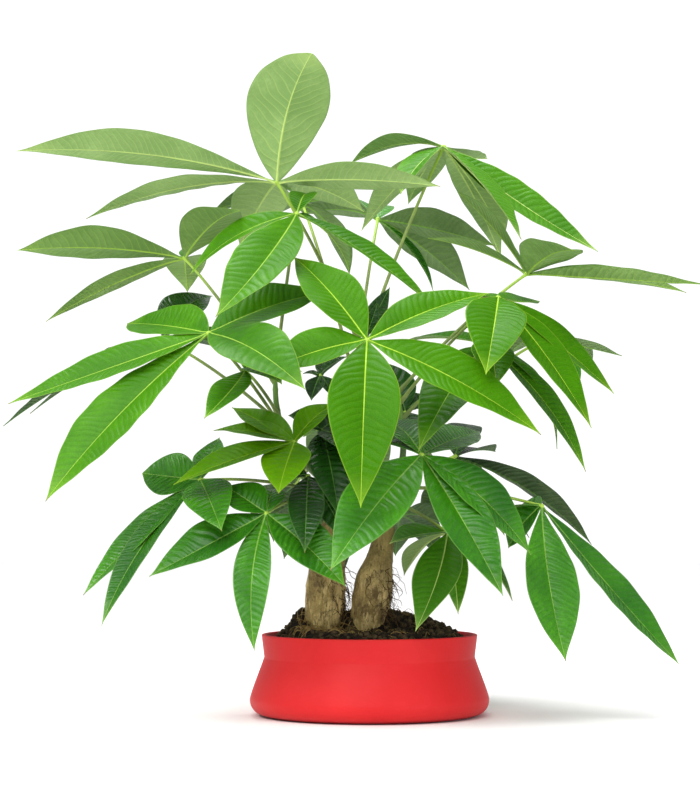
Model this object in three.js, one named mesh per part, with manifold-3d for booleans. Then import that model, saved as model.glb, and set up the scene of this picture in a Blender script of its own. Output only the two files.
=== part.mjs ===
// A money tree (Pachira) in a low red pot: two stout trunks in a mound of soil, seven green shoots on
// the trunks, and twenty-nine hand-shaped leaves. A leaf is one stalk with three to eight leaflets round
// its tip. Millimetres, +Z up. The origin is the centre of the pot's foot; -Y is the front.
import * as THREE from "three";
import { mergeVertices } from "three/addons/utils/BufferGeometryUtils.js";
import Module from "manifold-3d";

const wasm = await Module();
wasm.setup();

// ---- Driving dimensions ----
const GAP = 0.35; // between pieces that touch, such as a stalk and its shoot
const TIDY = 0.1; // slivers smaller than this are merged after a join

const POT = {
  height: 65,
  rimRadius: 86.2,
  neckRadius: 84.2,
  neckHeight: 47,
  bellyRadius: 95.7,
  bellyHeight: 13.5,
  footRadius: 78,
  lean: 0.5, // how far the side draws in over the belly before it sweeps to the neck
  sweep: 10, // height over which the side leaves the belly, and comes to the neck
  flare: 3, // how far outside the neck the sweep ends
  wall: 3.5,
  floor: 4,
  waistHeight: 30, // where the inside narrows
  waist: 4.5,
  facets: 36,
};
const SOIL = {
  crown: 18, // rise of the mound over the rim
  foot: 69, // radius where the mound is level with the rim
  fall: 2.3, // the power that sets how steeply it falls outwards
  bank: { at: [-55, -6], height: 14, radius: 10 }, // soil heaped against the left trunk
  front: 15, // how much lower it lies in front of the trunks
  clod: 1.1,
  room: 2, // between its sides and the pot's
  top: 2, // radius of the flat on its top
  spokes: 24,
  rings: 6,
};
const TRUNK = {
  ridges: [
    { count: 3, depth: 0.035, twist: 1 / 19 },
    { count: 5, depth: 0.025, twist: -1 / 13 },
  ],
  sides: 12,
  rings: 9,
};
const SHOOT = { baseRadius: 3.6, tipRadius: 2.4, sides: 7, rings: 6 };
const STALK = { baseRadius: 1.9, tipRadius: 1.2, sides: 5, rings: 4, rise: 0.08 };
const KNOB = { radius: 3.4, around: 6, down: 4 };
const BLADE = {
  thickness: 0.8,
  arch: 0.09, // rise of the middle of a leaflet over its length
  sway: 0, // the same to its right
  fold: THREE.MathUtils.degToRad(14), // how far its halves lift from the midrib
  full: 1.1, // the power that sets how quickly the outline swells
  widest: 0.47, // the share of its length where it is widest
  footWidth: 0.05,
  stations: [0, 0.17, 0.38, 0.6, 0.82, 1],
  smallStations: [0, 0.2, 0.46, 0.76, 1], // for a leaflet narrower than this:
  smallWidth: 37,
};

// Trunks: points up the middle, and the radius there.
const TRUNKS = {
  trunk_left: [
    { at: [-40, -9, 25], radius: 11 },
    { at: [-37.5, -9, 72], radius: 14.5 },
    { at: [-36, -9, 96], radius: 15.6 },
    { at: [-34.5, -9, 116], radius: 14.5 },
    { at: [-31, -8, 136], radius: 12 },
    { at: [-26, -5, 162], radius: 10 },
    { at: [-21, -3, 193], radius: 8.5 },
  ],
  trunk_right: [
    { at: [-4, -12, 25], radius: 10 },
    { at: [-2, -12, 76], radius: 13.2 },
    { at: [0.8, -12, 93], radius: 15.6 },
    { at: [3.2, -12, 108], radius: 14.8 },
    { at: [6.5, -11, 119], radius: 11.8 },
    { at: [10, -10, 133], radius: 9 },
    { at: [15, -8, 172], radius: 8 },
  ],
};

// Shoots: the trunk each grows from, and points from inside that trunk to the shoot's tip.
const SHOOTS = {
  left_tall: {
    on: "trunk_left",
    points: [[-24, -4, 177], [-52, -10, 202], [-69, -13, 228], [-74, -14, 248], [-75, -15, 271]],
  },
  middle_tall: { on: "trunk_left", points: [[-21, -3, 177], [-16, 4, 210], [-14, 8, 255], [-8, 10, 297]] },
  right_tall: { on: "trunk_right", points: [[14, -8, 155], [25, -2, 195], [27, 0, 225], [22, 0, 257]] },
  low_right: { on: "trunk_right", points: [[13, -9, 150], [24, -22, 168], [32, -32, 190]] },
  low_left: { on: "trunk_left", points: [[-28, -6, 155], [-42, -22, 171], [-54, -36, 193]] },
  rear_left: { on: "trunk_left", points: [[-25, -4, 163], [-30, 22, 190], [-29, 46, 216], [-28, 62, 238]] },
  rear_right: { on: "trunk_right", points: [[13, -9, 147], [25, 14, 170], [38, 34, 192], [48, 50, 211]] },
};

// Leaves. "at" is the share of the shoot's length where the stalk leaves it, "hub" is where the leaflets
// meet, and "faces" is the way the leaf's upper side looks. Each leaflet is [right, back, up, width]: its
// tip from the hub and its widest width. The rest is what sets one leaflet apart: a turn on its midrib in
// degrees, its own arch or sway over its length, a fuller outline, or another place where it is widest.
const LEAVES = {
  crown: {
    on: "middle_tall", at: 1, hub: [-74, 0, 426], faces: [0.05, 0.5, 0.86],
    leaflets: [
      [-205, -20, 22, 46, { arch: 0.06, widest: 0.57 }],
      [-158, 45, -23, 31, { arch: 0.08, turn: -16, widest: 0.54 }],
      [29, -70, 89, 64, { sway: 0.045, full: 0.7, widest: 0.54 }], [130, -20, -6, 34, { arch: 0.035 }],
      [70, 55, -16, 42], [-34, 85, -42, 46],
    ],
  },
  left_high: {
    on: "left_tall", at: 0.93, hub: [-151, 40, 370], faces: [-0.1, 0.45, 0.88],
    leaflets: [
      [-132, -30, 3, 44, { arch: 0.045, widest: 0.53 }], [-116, 20, -50, 22, { arch: 0.045 }],
      [49, -80, 28, 44], [28, 45, 22, 34], [-4, 90, -19, 36],
    ],
  },
  left_front: {
    on: "left_tall", at: 0.58, hub: [-123, -90, 298], faces: [-0.1, -0.6, 0.79],
    leaflets: [
      [-71, 90, 15, 50, { arch: 0.02, full: 0.95 }], [-154, 10, -53, 40, { arch: 0 }],
      [-116, -60, -128, 49, { arch: 0, sway: 0.043, widest: 0.54 }], [75, -80, -47, 50, { arch: 0.08 }],
      [90, 35, 35, 50, { arch: 0.045 }],
    ],
  },
  left_rear: {
    on: "left_tall", at: 0.65, hub: [-167, 20, 302], faces: [-0.2, 0.1, 0.97],
    leaflets: [
      [-133, 25, -69, 34, { arch: 0.04 }], [-104, -25, -61, 32, { arch: 0.04 }],
      [-59, 85, -3, 26, { arch: -0.02 }], [36, 70, 42, 36, { turn: 35 }], [59, 60, -9, 36],
    ],
  },
  upper_front: {
    on: "left_tall", at: 1, hub: [-57, -45, 395], faces: [0, -0.55, 0.83],
    leaflets: [
      [-59, -75, -87, 49, { arch: 0.02, sway: -0.045 }], [105, -20, -73, 34, { turn: -17, arch: 0.04 }],
      [-86, 30, -45, 34], [8, 70, 24, 22], [41, 60, -37, 32],
    ],
  },
  crown_rear: {
    on: "middle_tall", at: 0.77, hub: [-56, 95, 423], faces: [0, 0.3, 0.95],
    leaflets: [
      [54, -35, -13, 36], [40, 10, -60, 24, { sway: 0.08 }], [-71, 40, -27, 34], [-77, 25, -4, 34],
      [0, 95, 2, 36],
    ],
  },
  centre_front: {
    on: "middle_tall", at: 0.63, hub: [-3, -125, 290], faces: [0, -0.62, 0.78],
    leaflets: [
      [-5, -70, -125, 52, { arch: 0.1 }], [128, -20, -71, 50, { arch: 0.05 }],
      [95, 60, 41, 39, { arch: 0.045 }], [-56, 60, 69, 44, { arch: 0.05 }],
      [-73, -10, -23, 43, { arch: 0.05 }],
    ],
  },
  left_small: {
    on: "left_tall", at: 0.72, hub: [-96, -70, 271], faces: [-0.1, -0.5, 0.86],
    leaflets: [
      [-27, -75, -40, 28, { arch: 0.02, sway: -0.04 }], [30, -60, -14, 30], [43, 10, 0, 28],
      [11, 22, 14, 20],
    ],
  },
  right_low_front: {
    on: "low_right", at: 1, hub: [38, -115, 205], faces: [0.1, -0.62, 0.78],
    leaflets: [
      [-68, -65, -85, 50, { arch: 0.06 }], [58, -45, -104, 42, { arch: 0.03 }],
      [82, 0, -75, 42, { arch: 0.08 }], [-34, 75, 6, 34], [-28, 85, 26, 34],
      [51, 125, 22, 36, { arch: 0.02 }],
    ],
  },
  right_front: {
    on: "right_tall", at: 0.91, hub: [99, -60, 328], faces: [0.15, -0.5, 0.85],
    leaflets: [
      [-15, -90, -65, 46, { arch: 0.08 }], [92, 20, -73, 40, { arch: 0.02 }],
      [69, -30, -102, 38, { arch: 0.04 }], [39, 80, 5, 26, { arch: -0.02 }],
      [-23, 75, 11, 24, { arch: -0.02 }],
    ],
  },
  right_high: {
    on: "right_tall", at: 1, hub: [126, 0, 353], faces: [0.1, 0.35, 0.93],
    leaflets: [
      [135, -45, -13, 35, { arch: 0, turn: 8 }], [132, 30, -12, 28, { arch: 0.04 }],
      [29, -90, 8, 47, { arch: 0.07 }], [-53, 50, 73, 44, { arch: 0.03 }], [-77, 60, 36, 26, { arch: 0.04 }],
    ],
  },
  crown_right: {
    on: "middle_tall", at: 0.84, hub: [61, 40, 461], faces: [0.1, 0.1, 0.99],
    leaflets: [
      [123, -30, -89, 39, { arch: -0.02, turn: 45 }], [59, -60, -83, 40, { arch: 0.04 }],
      [54, 60, -70, 50, { arch: 0.05 }], [-77, 40, -8, 32, { arch: 0.11 }], [-36, -30, -43, 38],
      [-67, 35, -64, 38, { arch: 0.06 }], [41, 85, 4, 26, { arch: -0.03 }], [-27, 80, -36, 32],
      [53, 85, -82, 34, { arch: 0.04 }],
    ],
  },
  upper_rear: {
    on: "middle_tall", at: 0.7, hub: [8, 110, 411], faces: [0.1, 0.5, 0.86],
    leaflets: [
      [98, -20, -25, 42, { arch: 0.03 }], [80, 40, -56, 44, { arch: 0.06 }], [-67, 50, 11, 34],
      [46, -30, -64, 16, { turn: 50 }], [-10, 80, 17, 34],
    ],
  },
  heart_front: {
    on: "low_left", at: 1, hub: [-38, -30, 226], faces: [0, -0.5, 0.86],
    leaflets: [
      [14, -65, -68, 35], [38, -30, -54, 30], [33, -55, -24, 32], [-26, -5, 12, 30], [24, 10, 15, 30],
    ],
  },
  low_left_front: {
    on: "low_left", at: 0.58, hub: [-79, -95, 161], faces: [-0.05, -0.62, 0.78],
    leaflets: [
      [-87, -20, -47, 42, { arch: 0 }], [-7, -45, -102, 28, { arch: 0.06, sway: 0.05 }],
      [60, -35, -54, 40, { arch: 0.05 }], [-32, 17, 21, 34, { arch: 0.02 }], [5, 31, 19, 24],
    ],
  },
  low_left: {
    on: "low_left", at: 0.7, hub: [-132, -50, 187], faces: [-0.2, -0.45, 0.87],
    leaflets: [
      [-48, 30, 6, 38, { arch: 0, turn: -30, full: 0.85 }], [21, -75, -39, 38, { arch: 0.06 }],
      [-90, -10, -89, 34, { arch: 0.02, widest: 0.5 }], [-72, -45, -111, 27, { arch: 0.04, sway: 0.045 }],
      [12, 50, 35, 24, { arch: 0.02 }],
    ],
  },
  young_light: {
    on: "low_left", at: 0.86, hub: [-58, -70, 216], faces: [-0.1, -0.4, 0.91],
    leaflets: [
      [-91, -30, -33, 36, { arch: 0.03 }], [-64, 25, 10, 30, { arch: 0.05 }],
      [-51, 48, 29, 28, { arch: 0.02 }], [-11, -50, -40, 38, { arch: 0.04 }], [31, 10, 30, 32],
    ],
  },
  heart_small: {
    on: "middle_tall", at: 0.52, hub: [-39, -20, 270], faces: [0, -0.3, 0.95],
    leaflets: [
      [-14, 2, 2, 10], [-7, -12, -20, 16], [10, -12, -18, 14], [22, 8, 16, 16], [4, 20, 13, 12],
    ],
  },
  right_inner: {
    on: "right_tall", at: 0.8, hub: [93, -10, 296], faces: [0.1, -0.35, 0.93],
    leaflets: [
      [77, -20, -102, 32, { arch: 0.07 }], [58, 20, -83, 26, { arch: 0.15 }], [4, -58, -37, 34],
      [-58, -118, -89, 44, { arch: 0.06 }], [-65, 80, 8, 30, { arch: 0.04 }],
    ],
  },
  right_outer: {
    on: "right_tall", at: 0.6, hub: [146, 50, 306], faces: [0.2, 0.1, 0.97],
    leaflets: [
      [64, 15, -14, 28, { arch: 0 }], [43, 75, -26, 34], [-27, 75, -10, 32], [16, -40, -54, 32],
    ],
  },
  right_low: {
    on: "right_tall", at: 0.3, hub: [69, 10, 207], faces: [0.1, 0.2, 0.97],
    leaflets: [
      [112, 20, -71, 40, { arch: 0.075 }], [58, -20, -65, 36, { arch: 0.04 }], [37, 70, 6, 32, { arch: 0.04 }],
      [15, 58, 28, 32], [15, 55, -35, 30],
    ],
  },
  low_right: {
    on: "low_right", at: 0.8, hub: [133, -55, 167], faces: [0.2, -0.45, 0.87],
    leaflets: [
      [15, -40, -118, 44, { arch: 0, sway: 0.03, widest: 0.52 }],
      [105, -10, -122, 38, { arch: -0.01, full: 0.95, widest: 0.54 }], [-22, 20, -5, 32],
      [-25, 10, -33, 32],
    ],
  },
  low_centre: {
    on: "low_right", at: 0.5, hub: [61, -30, 146], faces: [0, -0.3, 0.95],
    leaflets: [
      [-27, -65, -74, 37, { arch: 0.04, sway: -0.05 }], [7, -32, -63, 22], [52, 10, -54, 34],
      [-33, 50, -35, 30], [-46, -28, -8, 36, { arch: 0.05 }],
    ],
  },
  bud: {
    on: "middle_tall", at: 0.92, hub: [-3, -10, 302], faces: [0.3, -0.6, 0.75],
    leaflets: [
      [19, -12, 38, 16, { arch: 0.05 }], [10, -10, 28, 10], [17, -12, 14, 10],
    ],
  },
  rear_centre: {
    on: "rear_left", at: 1, hub: [-16, 140, 233], faces: [0, 0.5, 0.86],
    leaflets: [
      [-36, 95, -32, 40], [32, 105, -41, 40], [63, 60, -6, 36], [-41, 50, -4, 34], [2, -40, 16, 26],
    ],
  },
  rear_left_low: {
    on: "rear_left", at: 0.75, hub: [-62, 115, 186], faces: [-0.3, 0.4, 0.87],
    leaflets: [
      [-40, 58, -30, 36], [-22, 94, -50, 38], [28, 86, -37, 34], [-19, 6, 28, 31], [13, -45, 17, 28],
    ],
  },
  rear_right_low: {
    on: "rear_right", at: 1, hub: [74, 115, 181], faces: [0.3, 0.4, 0.87],
    leaflets: [
      [46, 60, -39, 36], [13, 100, -52, 38], [-27, 85, -34, 34], [35, -15, -2, 32], [-15, -40, 18, 28],
    ],
  },
  rear_low: {
    on: "rear_right", at: 0.6, hub: [27, 135, 160], faces: [0.1, 0.5, 0.86],
    leaflets: [
      [36, 70, -36, 34], [-2, 85, -37, 34], [-38, 45, -18, 32], [35, 15, -6, 32], [-5, -45, 14, 26],
    ],
  },
  rear_heart: {
    on: "rear_left", at: 0.45, hub: [-43, 120, 173], faces: [-0.1, 0.5, 0.86],
    leaflets: [
      [-31, 65, -52, 36], [5, 80, -49, 36], [21, 20, -66, 36], [-39, 5, -13, 32], [-2, -40, 10, 26],
    ],
  },
  heart_low: {
    on: "low_left", at: 0.3, hub: [-48, -60, 190], faces: [0, -0.6, 0.8],
    leaflets: [
      [-1, -78, -58, 28, { arch: 0.05 }], [30, -18, -52, 28], [-26, 14, -2, 20], [10, 10, -38, 22],
    ],
  },
  heart_right: {
    on: "right_tall", at: 0.55, hub: [29, 40, 244], faces: [0.1, -0.5, 0.86],
    leaflets: [[-15, 5, 41, 30], [20, 15, 14, 24], [10, -25, -28, 24], [-15, -20, -29, 28]],
  },
};

const COLOURS = {
  pot: { color: 0xe2333a, roughness: 0.45 },
  soil: { color: 0x2b211a, roughness: 1 },
  bark: { color: 0x8b7350, roughness: 0.9 },
  shoot: { color: 0x4c7a2e, roughness: 0.6 },
  leaf: { color: 0x3f9a26, roughness: 0.4 },
};

// ---- Solids from geometries, and back ----

/** A closed geometry as a manifold-3d solid. */
function solidOf(geometry) {
  const bare = geometry.clone();
  for (const name of Object.keys(bare.attributes)) if (name !== "position") bare.deleteAttribute(name);
  const merged = mergeVertices(bare, 1e-4);
  const vertProperties = new Float32Array(merged.attributes.position.array);
  const triVerts = new Uint32Array(merged.index.array);
  return new wasm.Manifold(new wasm.Mesh({ numProp: 3, vertProperties, triVerts }));
}

/** A solid as a geometry with flat faces. */
function geometryOf(solid) {
  const mesh = solid.getMesh();
  const positions = new THREE.BufferAttribute(new Float32Array(mesh.vertProperties), mesh.numProp);
  const geometry = new THREE.BufferGeometry()
    .setAttribute("position", positions)
    .setIndex(new THREE.BufferAttribute(new Uint32Array(mesh.triVerts), 1));
  geometry.computeVertexNormals();
  return geometry;
}

/** The largest body of a solid: a cut can leave a loose scrap behind. */
function largestBody(solid) {
  return solid.decompose().reduce((a, b) => (b.volume() > a.volume() ? b : a));
}

const vector = (p) => new THREE.Vector3(...p);

// ---- Lofts ----

/** A closed geometry from rings of equal length, joined in order and capped at both ends. */
function loft(rings) {
  const sides = rings[0].length;
  const positions = rings.flat().flatMap((p) => [p.x, p.y, p.z]);
  const indices = [];
  for (let r = 0; r + 1 < rings.length; r++)
    for (let s = 0; s < sides; s++) {
      const [a, b] = [r * sides + s, r * sides + ((s + 1) % sides)];
      indices.push(a, b, b + sides, a, b + sides, a + sides);
    }
  const last = (rings.length - 1) * sides;
  for (let s = 1; s + 1 < sides; s++) indices.push(0, s + 1, s, last, last + s, last + s + 1);
  return new THREE.BufferGeometry()
    .setAttribute("position", new THREE.Float32BufferAttribute(positions, 3))
    .setIndex(indices);
}

/** A tapering tube along a curve. radiusAt gives the radius at a share of the length and an angle. */
function tube(curve, radiusAt, sides, steps) {
  const frames = curve.computeFrenetFrames(steps, false);
  const rings = frames.tangents.map((_, i) => {
    const centre = curve.getPointAt(i / steps);
    return Array.from({ length: sides }, (_, s) => {
      const angle = (2 * Math.PI * s) / sides;
      return centre
        .clone()
        .addScaledVector(frames.normals[i], Math.cos(angle) * radiusAt(i / steps, angle))
        .addScaledVector(frames.binormals[i], Math.sin(angle) * radiusAt(i / steps, angle));
    });
  });
  return loft(rings);
}

// ---- Pot and soil ----

/** The pot's outside, from the foot to the rim. */
function potSide() {
  const { bellyRadius, bellyHeight, footRadius, neckRadius, neckHeight, rimRadius, height } = POT;
  const shoulder = new THREE.QuadraticBezierCurve(
    new THREE.Vector2(footRadius, 0),
    new THREE.Vector2(bellyRadius, 0),
    new THREE.Vector2(bellyRadius, bellyHeight),
  );
  const sweep = new THREE.CubicBezierCurve(
    new THREE.Vector2(bellyRadius, bellyHeight),
    new THREE.Vector2(bellyRadius - POT.lean, bellyHeight + POT.sweep),
    new THREE.Vector2(neckRadius + POT.flare, neckHeight - POT.sweep),
    new THREE.Vector2(neckRadius, neckHeight),
  );
  const rim = new THREE.Vector2(rimRadius, height);
  return [...shoulder.getPoints(3), ...sweep.getPoints(4).slice(1), rim];
}

/** The pot's inside, from the rim to the floor, or the soil's side when it is drawn in by some room. */
function potInside(room = 0) {
  const inset = POT.wall + room;
  return [
    new THREE.Vector2(POT.rimRadius - inset, POT.height),
    new THREE.Vector2(POT.neckRadius - inset, POT.neckHeight),
    new THREE.Vector2(POT.bellyRadius - inset - POT.waist, POT.waistHeight),
    new THREE.Vector2(POT.bellyRadius - inset, POT.bellyHeight + 2),
    new THREE.Vector2(POT.footRadius - room, POT.floor + (room && GAP)),
  ];
}

function potGeometry() {
  const foot = new THREE.Vector2(0, 0);
  const floor = new THREE.Vector2(0, POT.floor);
  const profile = [foot, ...potSide(), ...potInside(), floor];
  return new THREE.LatheGeometry(profile, POT.facets).rotateX(Math.PI / 2);
}

/** Height of the soil at a place in the pot: a mound, lower at the front, with clods. */
function soilHeight(x, y) {
  const { crown, foot, fall, bank, front, clod } = SOIL;
  const away = Math.hypot(x, y) / foot;
  const fromBank = Math.hypot(x - bank.at[0], y - bank.at[1]) / bank.radius;
  const heap = bank.height * Math.exp(-(fromBank ** 2));
  const { smoothstep } = THREE.MathUtils;
  const hollow = front * smoothstep(-y, 2, 30) * smoothstep(1 - away, 0, 0.5);
  const fine = Math.sin(x / 5.1 + 1) * Math.cos(y / 4.3);
  const coarse = 0.7 * Math.sin((x + y) / 7.7) + 0.6 * Math.cos((x - y) / 3.9);
  return POT.height + crown * (1 - away ** fall) + heap - hollow + clod * (fine + coarse);
}

/** The soil: it fills the pot and rises in a mound above the rim. */
function soilSolid() {
  const { spokes, rings } = SOIL;
  const ring = (radius, heightAt) =>
    Array.from({ length: spokes }, (_, s) => {
      const angle = (2 * Math.PI * s) / spokes;
      const [x, y] = [radius * Math.cos(angle), radius * Math.sin(angle)];
      return new THREE.Vector3(x, y, heightAt(x, y));
    });
  const [, neck, ...below] = potInside(SOIL.room);
  const side = [...below.reverse(), neck].map((p) => ring(p.x, () => p.y));
  const mound = Array.from({ length: rings }, (_, i) => ring(neck.x * (1 - i / rings), soilHeight));
  return solidOf(loft([...side, ...mound, ring(SOIL.top, soilHeight)]));
}

// ---- Trunks, shoots and leaves ----

/** A trunk, grown outwards by an offset: uneven all round, as bark is. */
function trunkSolid(name, offset = 0) {
  const points = TRUNKS[name];
  const curve = new THREE.CatmullRomCurve3(points.map((p) => vector(p.at)));
  const radii = new THREE.SplineCurve(points.map((p, i) => new THREE.Vector2(i, p.radius)));
  const heights = points.map((p) => p.at[2]);
  const radiusAt = (share, angle) => {
    const z = curve.getPointAt(share).z;
    const above = Math.max(1, heights.findIndex((h) => h >= z - 1e-6));
    const within = (z - heights[above - 1]) / (heights[above] - heights[above - 1]);
    const radius = radii.getPoint((above - 1 + within) / (points.length - 1)).y;
    const waves = TRUNK.ridges.map((ridge) => ridge.depth * Math.sin(ridge.count * angle + ridge.twist * z));
    return radius * waves.reduce((sum, wave) => sum + wave, 1) + offset;
  };
  return solidOf(tube(curve, radiusAt, TRUNK.sides, TRUNK.rings));
}

const shootCurves = Object.fromEntries(
  Object.entries(SHOOTS).map(([name, shoot]) => [name, new THREE.CatmullRomCurve3(shoot.points.map(vector))]),
);

function shootSolid(name, offset = 0) {
  const radiusAt = (share) => THREE.MathUtils.lerp(SHOOT.baseRadius, SHOOT.tipRadius, share) + offset;
  return solidOf(tube(shootCurves[name], radiusAt, SHOOT.sides, SHOOT.rings));
}

/** Half of a leaflet's width at a share of its length: thin at the foot, widest past the middle, pointed. */
function halfWidth(share, width, full, widest) {
  const swell = Math.sin(Math.PI * share ** (Math.log(0.5) / Math.log(widest))) ** full;
  return (width / 2) * Math.max(swell, share < 0.5 ? BLADE.footWidth : 0);
}

/** One leaflet as a solid: an arched blade folded a little along its midrib. */
function leafletSolid(hub, faces, [right, back, up, width, own = {}]) {
  const { turn = 0, arch = BLADE.arch, sway = BLADE.sway, full = BLADE.full, widest = BLADE.widest } = own;
  const reach = new THREE.Vector3(right, back, up);
  const along = reach.clone().normalize();
  const across = along.clone().cross(faces).normalize();
  const out = across.clone().cross(along);
  const bend = out.multiplyScalar(2 * arch).addScaledVector(across, 2 * sway);
  bend.multiplyScalar(reach.length());
  const middle = hub.clone().addScaledVector(reach, 0.5).add(bend);
  const curve = new THREE.QuadraticBezierCurve3(hub, middle, hub.clone().add(reach));
  const stations = width < BLADE.smallWidth ? BLADE.smallStations : BLADE.stations;
  const rings = stations.map((share) => {
    const tangent = curve.getTangent(share);
    const side = tangent.clone().cross(faces).normalize();
    side.applyAxisAngle(tangent, THREE.MathUtils.degToRad(turn));
    const normal = side.clone().cross(tangent);
    const half = halfWidth(share, width, full, widest);
    const centre = curve.getPoint(share);
    const edge = (sign) =>
      centre
        .clone()
        .addScaledVector(side, sign * half * Math.cos(BLADE.fold))
        .addScaledVector(normal, half * Math.sin(BLADE.fold));
    return [edge(1), centre, edge(-1)].map((p) => ({
      top: p.clone().addScaledVector(normal, BLADE.thickness / 2),
      bottom: p.clone().addScaledVector(normal, -BLADE.thickness / 2),
    }));
  });
  return solidOf(bladeGeometry(rings));
}

/** A closed geometry from stations of three points, left, middle and right, each a top and a bottom. */
function bladeGeometry(rings) {
  const positions = [];
  const add = (p) => positions.push(p.x, p.y, p.z) / 3 - 1;
  const pair = (p) => ({ top: add(p.top), bottom: add(p.bottom) });
  const rows = rings.slice(0, -1).map((ring) => ring.map(pair));
  const tip = pair(rings.at(-1)[1]);
  const indices = [];
  const strip = (a, b, c, d) => {
    // a and b are on one station, c and d on the next; the same diagonal is used on both faces.
    indices.push(a.top, c.top, b.top, b.top, c.top, d.top);
    indices.push(a.bottom, b.bottom, c.bottom, b.bottom, d.bottom, c.bottom);
  };
  for (let r = 0; r + 1 < rows.length; r++) {
    const [near, far] = [rows[r], rows[r + 1]];
    strip(near[0], near[1], far[0], far[1]);
    strip(near[1], near[2], far[1], far[2]);
    indices.push(near[0].top, near[0].bottom, far[0].bottom, near[0].top, far[0].bottom, far[0].top);
    indices.push(near[2].top, far[2].bottom, near[2].bottom, near[2].top, far[2].top, far[2].bottom);
  }
  const last = rows.at(-1);
  indices.push(last[0].top, tip.top, last[1].top, last[1].top, tip.top, last[2].top);
  indices.push(last[0].bottom, last[1].bottom, tip.bottom, last[1].bottom, last[2].bottom, tip.bottom);
  indices.push(last[0].top, last[0].bottom, tip.bottom, last[0].top, tip.bottom, tip.top);
  indices.push(last[2].top, tip.bottom, last[2].bottom, last[2].top, tip.top, tip.bottom);
  const [l, m, r] = rows[0];
  indices.push(l.top, m.top, m.bottom, l.top, m.bottom, l.bottom);
  indices.push(m.top, r.top, r.bottom, m.top, r.bottom, m.bottom);
  return new THREE.BufferGeometry()
    .setAttribute("position", new THREE.Float32BufferAttribute(positions, 3))
    .setIndex(indices);
}

/** A leaf's stalk, from the middle of its shoot to its hub. */
function stalkSolid(leaf) {
  const foot = shootCurves[leaf.on].getPointAt(leaf.at);
  const hub = vector(leaf.hub);
  const middle = foot.clone().lerp(hub, 0.5);
  middle.z += STALK.rise * foot.distanceTo(hub);
  const curve = new THREE.QuadraticBezierCurve3(foot, middle, hub);
  const radiusAt = (share) => THREE.MathUtils.lerp(STALK.baseRadius, STALK.tipRadius, share);
  return solidOf(tube(curve, radiusAt, STALK.sides, STALK.rings));
}

/** A whole leaf: stalk, knob and leaflets in one piece, its foot shaped to sit against its shoot. */
function leafSolid(leaf) {
  const hub = vector(leaf.hub);
  const faces = vector(leaf.faces).normalize();
  const ball = new THREE.SphereGeometry(KNOB.radius, KNOB.around, KNOB.down);
  const knob = solidOf(ball.translate(hub.x, hub.y, hub.z));
  const blades = leaf.leaflets.map((leaflet) => leafletSolid(hub, faces, leaflet));
  const whole = [knob, ...blades].reduce((sum, piece) => sum.add(piece), stalkSolid(leaf));
  return largestBody(whole.subtract(shootSolid(leaf.on, GAP)).asOriginal().simplify(TIDY));
}

// ---- The plant ----

const material = (look) => new THREE.MeshStandardMaterial({ ...look, metalness: 0 });
const materials = Object.fromEntries(Object.entries(COLOURS).map(([name, look]) => [name, material(look)]));

const plant = new THREE.Group();

function place(name, geometry, look) {
  const mesh = new THREE.Mesh(geometry, materials[look]);
  mesh.name = name;
  plant.add(mesh);
}

place("pot", potGeometry(), "pot");

const holes = Object.keys(TRUNKS).map((name) => trunkSolid(name, GAP));
const soil = holes.reduce((rest, hole) => rest.subtract(hole), soilSolid());
place("soil", geometryOf(largestBody(soil)), "soil");

for (const name of Object.keys(TRUNKS)) place(name, geometryOf(trunkSolid(name)), "bark");

for (const [name, shoot] of Object.entries(SHOOTS)) {
  const seated = shootSolid(name).subtract(trunkSolid(shoot.on, GAP));
  place(`shoot_${name}`, geometryOf(largestBody(seated)), "shoot");
}

for (const [name, leaf] of Object.entries(LEAVES)) place(`leaf_${name}`, geometryOf(leafSolid(leaf)), "leaf");

export default plant;
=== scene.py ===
"""A potted money tree: two bare trunks, green shoots and hand-shaped leaves in a low red pot.

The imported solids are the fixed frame, and a finer piece of the same form replaces each one: blades
with ribs, veins and quilting, furrowed bark with root hairs, crumbly soil and a glazed pot. Plans
are in millimetres and meshes in metres. +Z is up, -Y is the front, and the pot's foot is the origin.
"""

from __future__ import annotations

import functools
import logging
import math
import random
from dataclasses import dataclass, field
from enum import Enum

import bpy
import numpy as np
from bpy.types import ID, Material, Node, NodeSocket, NodeTree, Object
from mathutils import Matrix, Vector, noise

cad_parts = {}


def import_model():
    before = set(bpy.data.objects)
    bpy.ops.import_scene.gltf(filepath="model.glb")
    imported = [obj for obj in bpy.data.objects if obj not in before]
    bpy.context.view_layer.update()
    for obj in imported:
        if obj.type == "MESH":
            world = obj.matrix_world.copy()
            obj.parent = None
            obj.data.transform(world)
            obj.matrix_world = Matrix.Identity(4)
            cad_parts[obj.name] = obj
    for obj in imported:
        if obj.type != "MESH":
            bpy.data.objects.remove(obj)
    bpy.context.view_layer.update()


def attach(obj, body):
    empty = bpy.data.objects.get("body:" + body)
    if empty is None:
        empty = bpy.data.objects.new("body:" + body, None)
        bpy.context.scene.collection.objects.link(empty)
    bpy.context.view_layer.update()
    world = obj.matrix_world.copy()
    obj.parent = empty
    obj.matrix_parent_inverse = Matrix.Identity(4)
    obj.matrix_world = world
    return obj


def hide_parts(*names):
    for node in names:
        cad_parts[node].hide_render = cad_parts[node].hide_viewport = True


log = logging.getLogger("money_tree")

MM = 0.001
ROOT = "root"

Array = np.ndarray
Colour = tuple[float, float, float, float]
Triple = tuple[float, float, float]
Range = tuple[float, float]


def srgb(red: int, green: int, blue: int) -> Colour:
    """Turn a screen colour, with parts from 0 to 255, into a linear one with full alpha."""
    shares = (value / 255 for value in (red, green, blue))
    return (*(s / 12.92 if s <= 0.04045 else ((s + 0.055) / 1.055) ** 2.4 for s in shares), 1.0)


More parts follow.
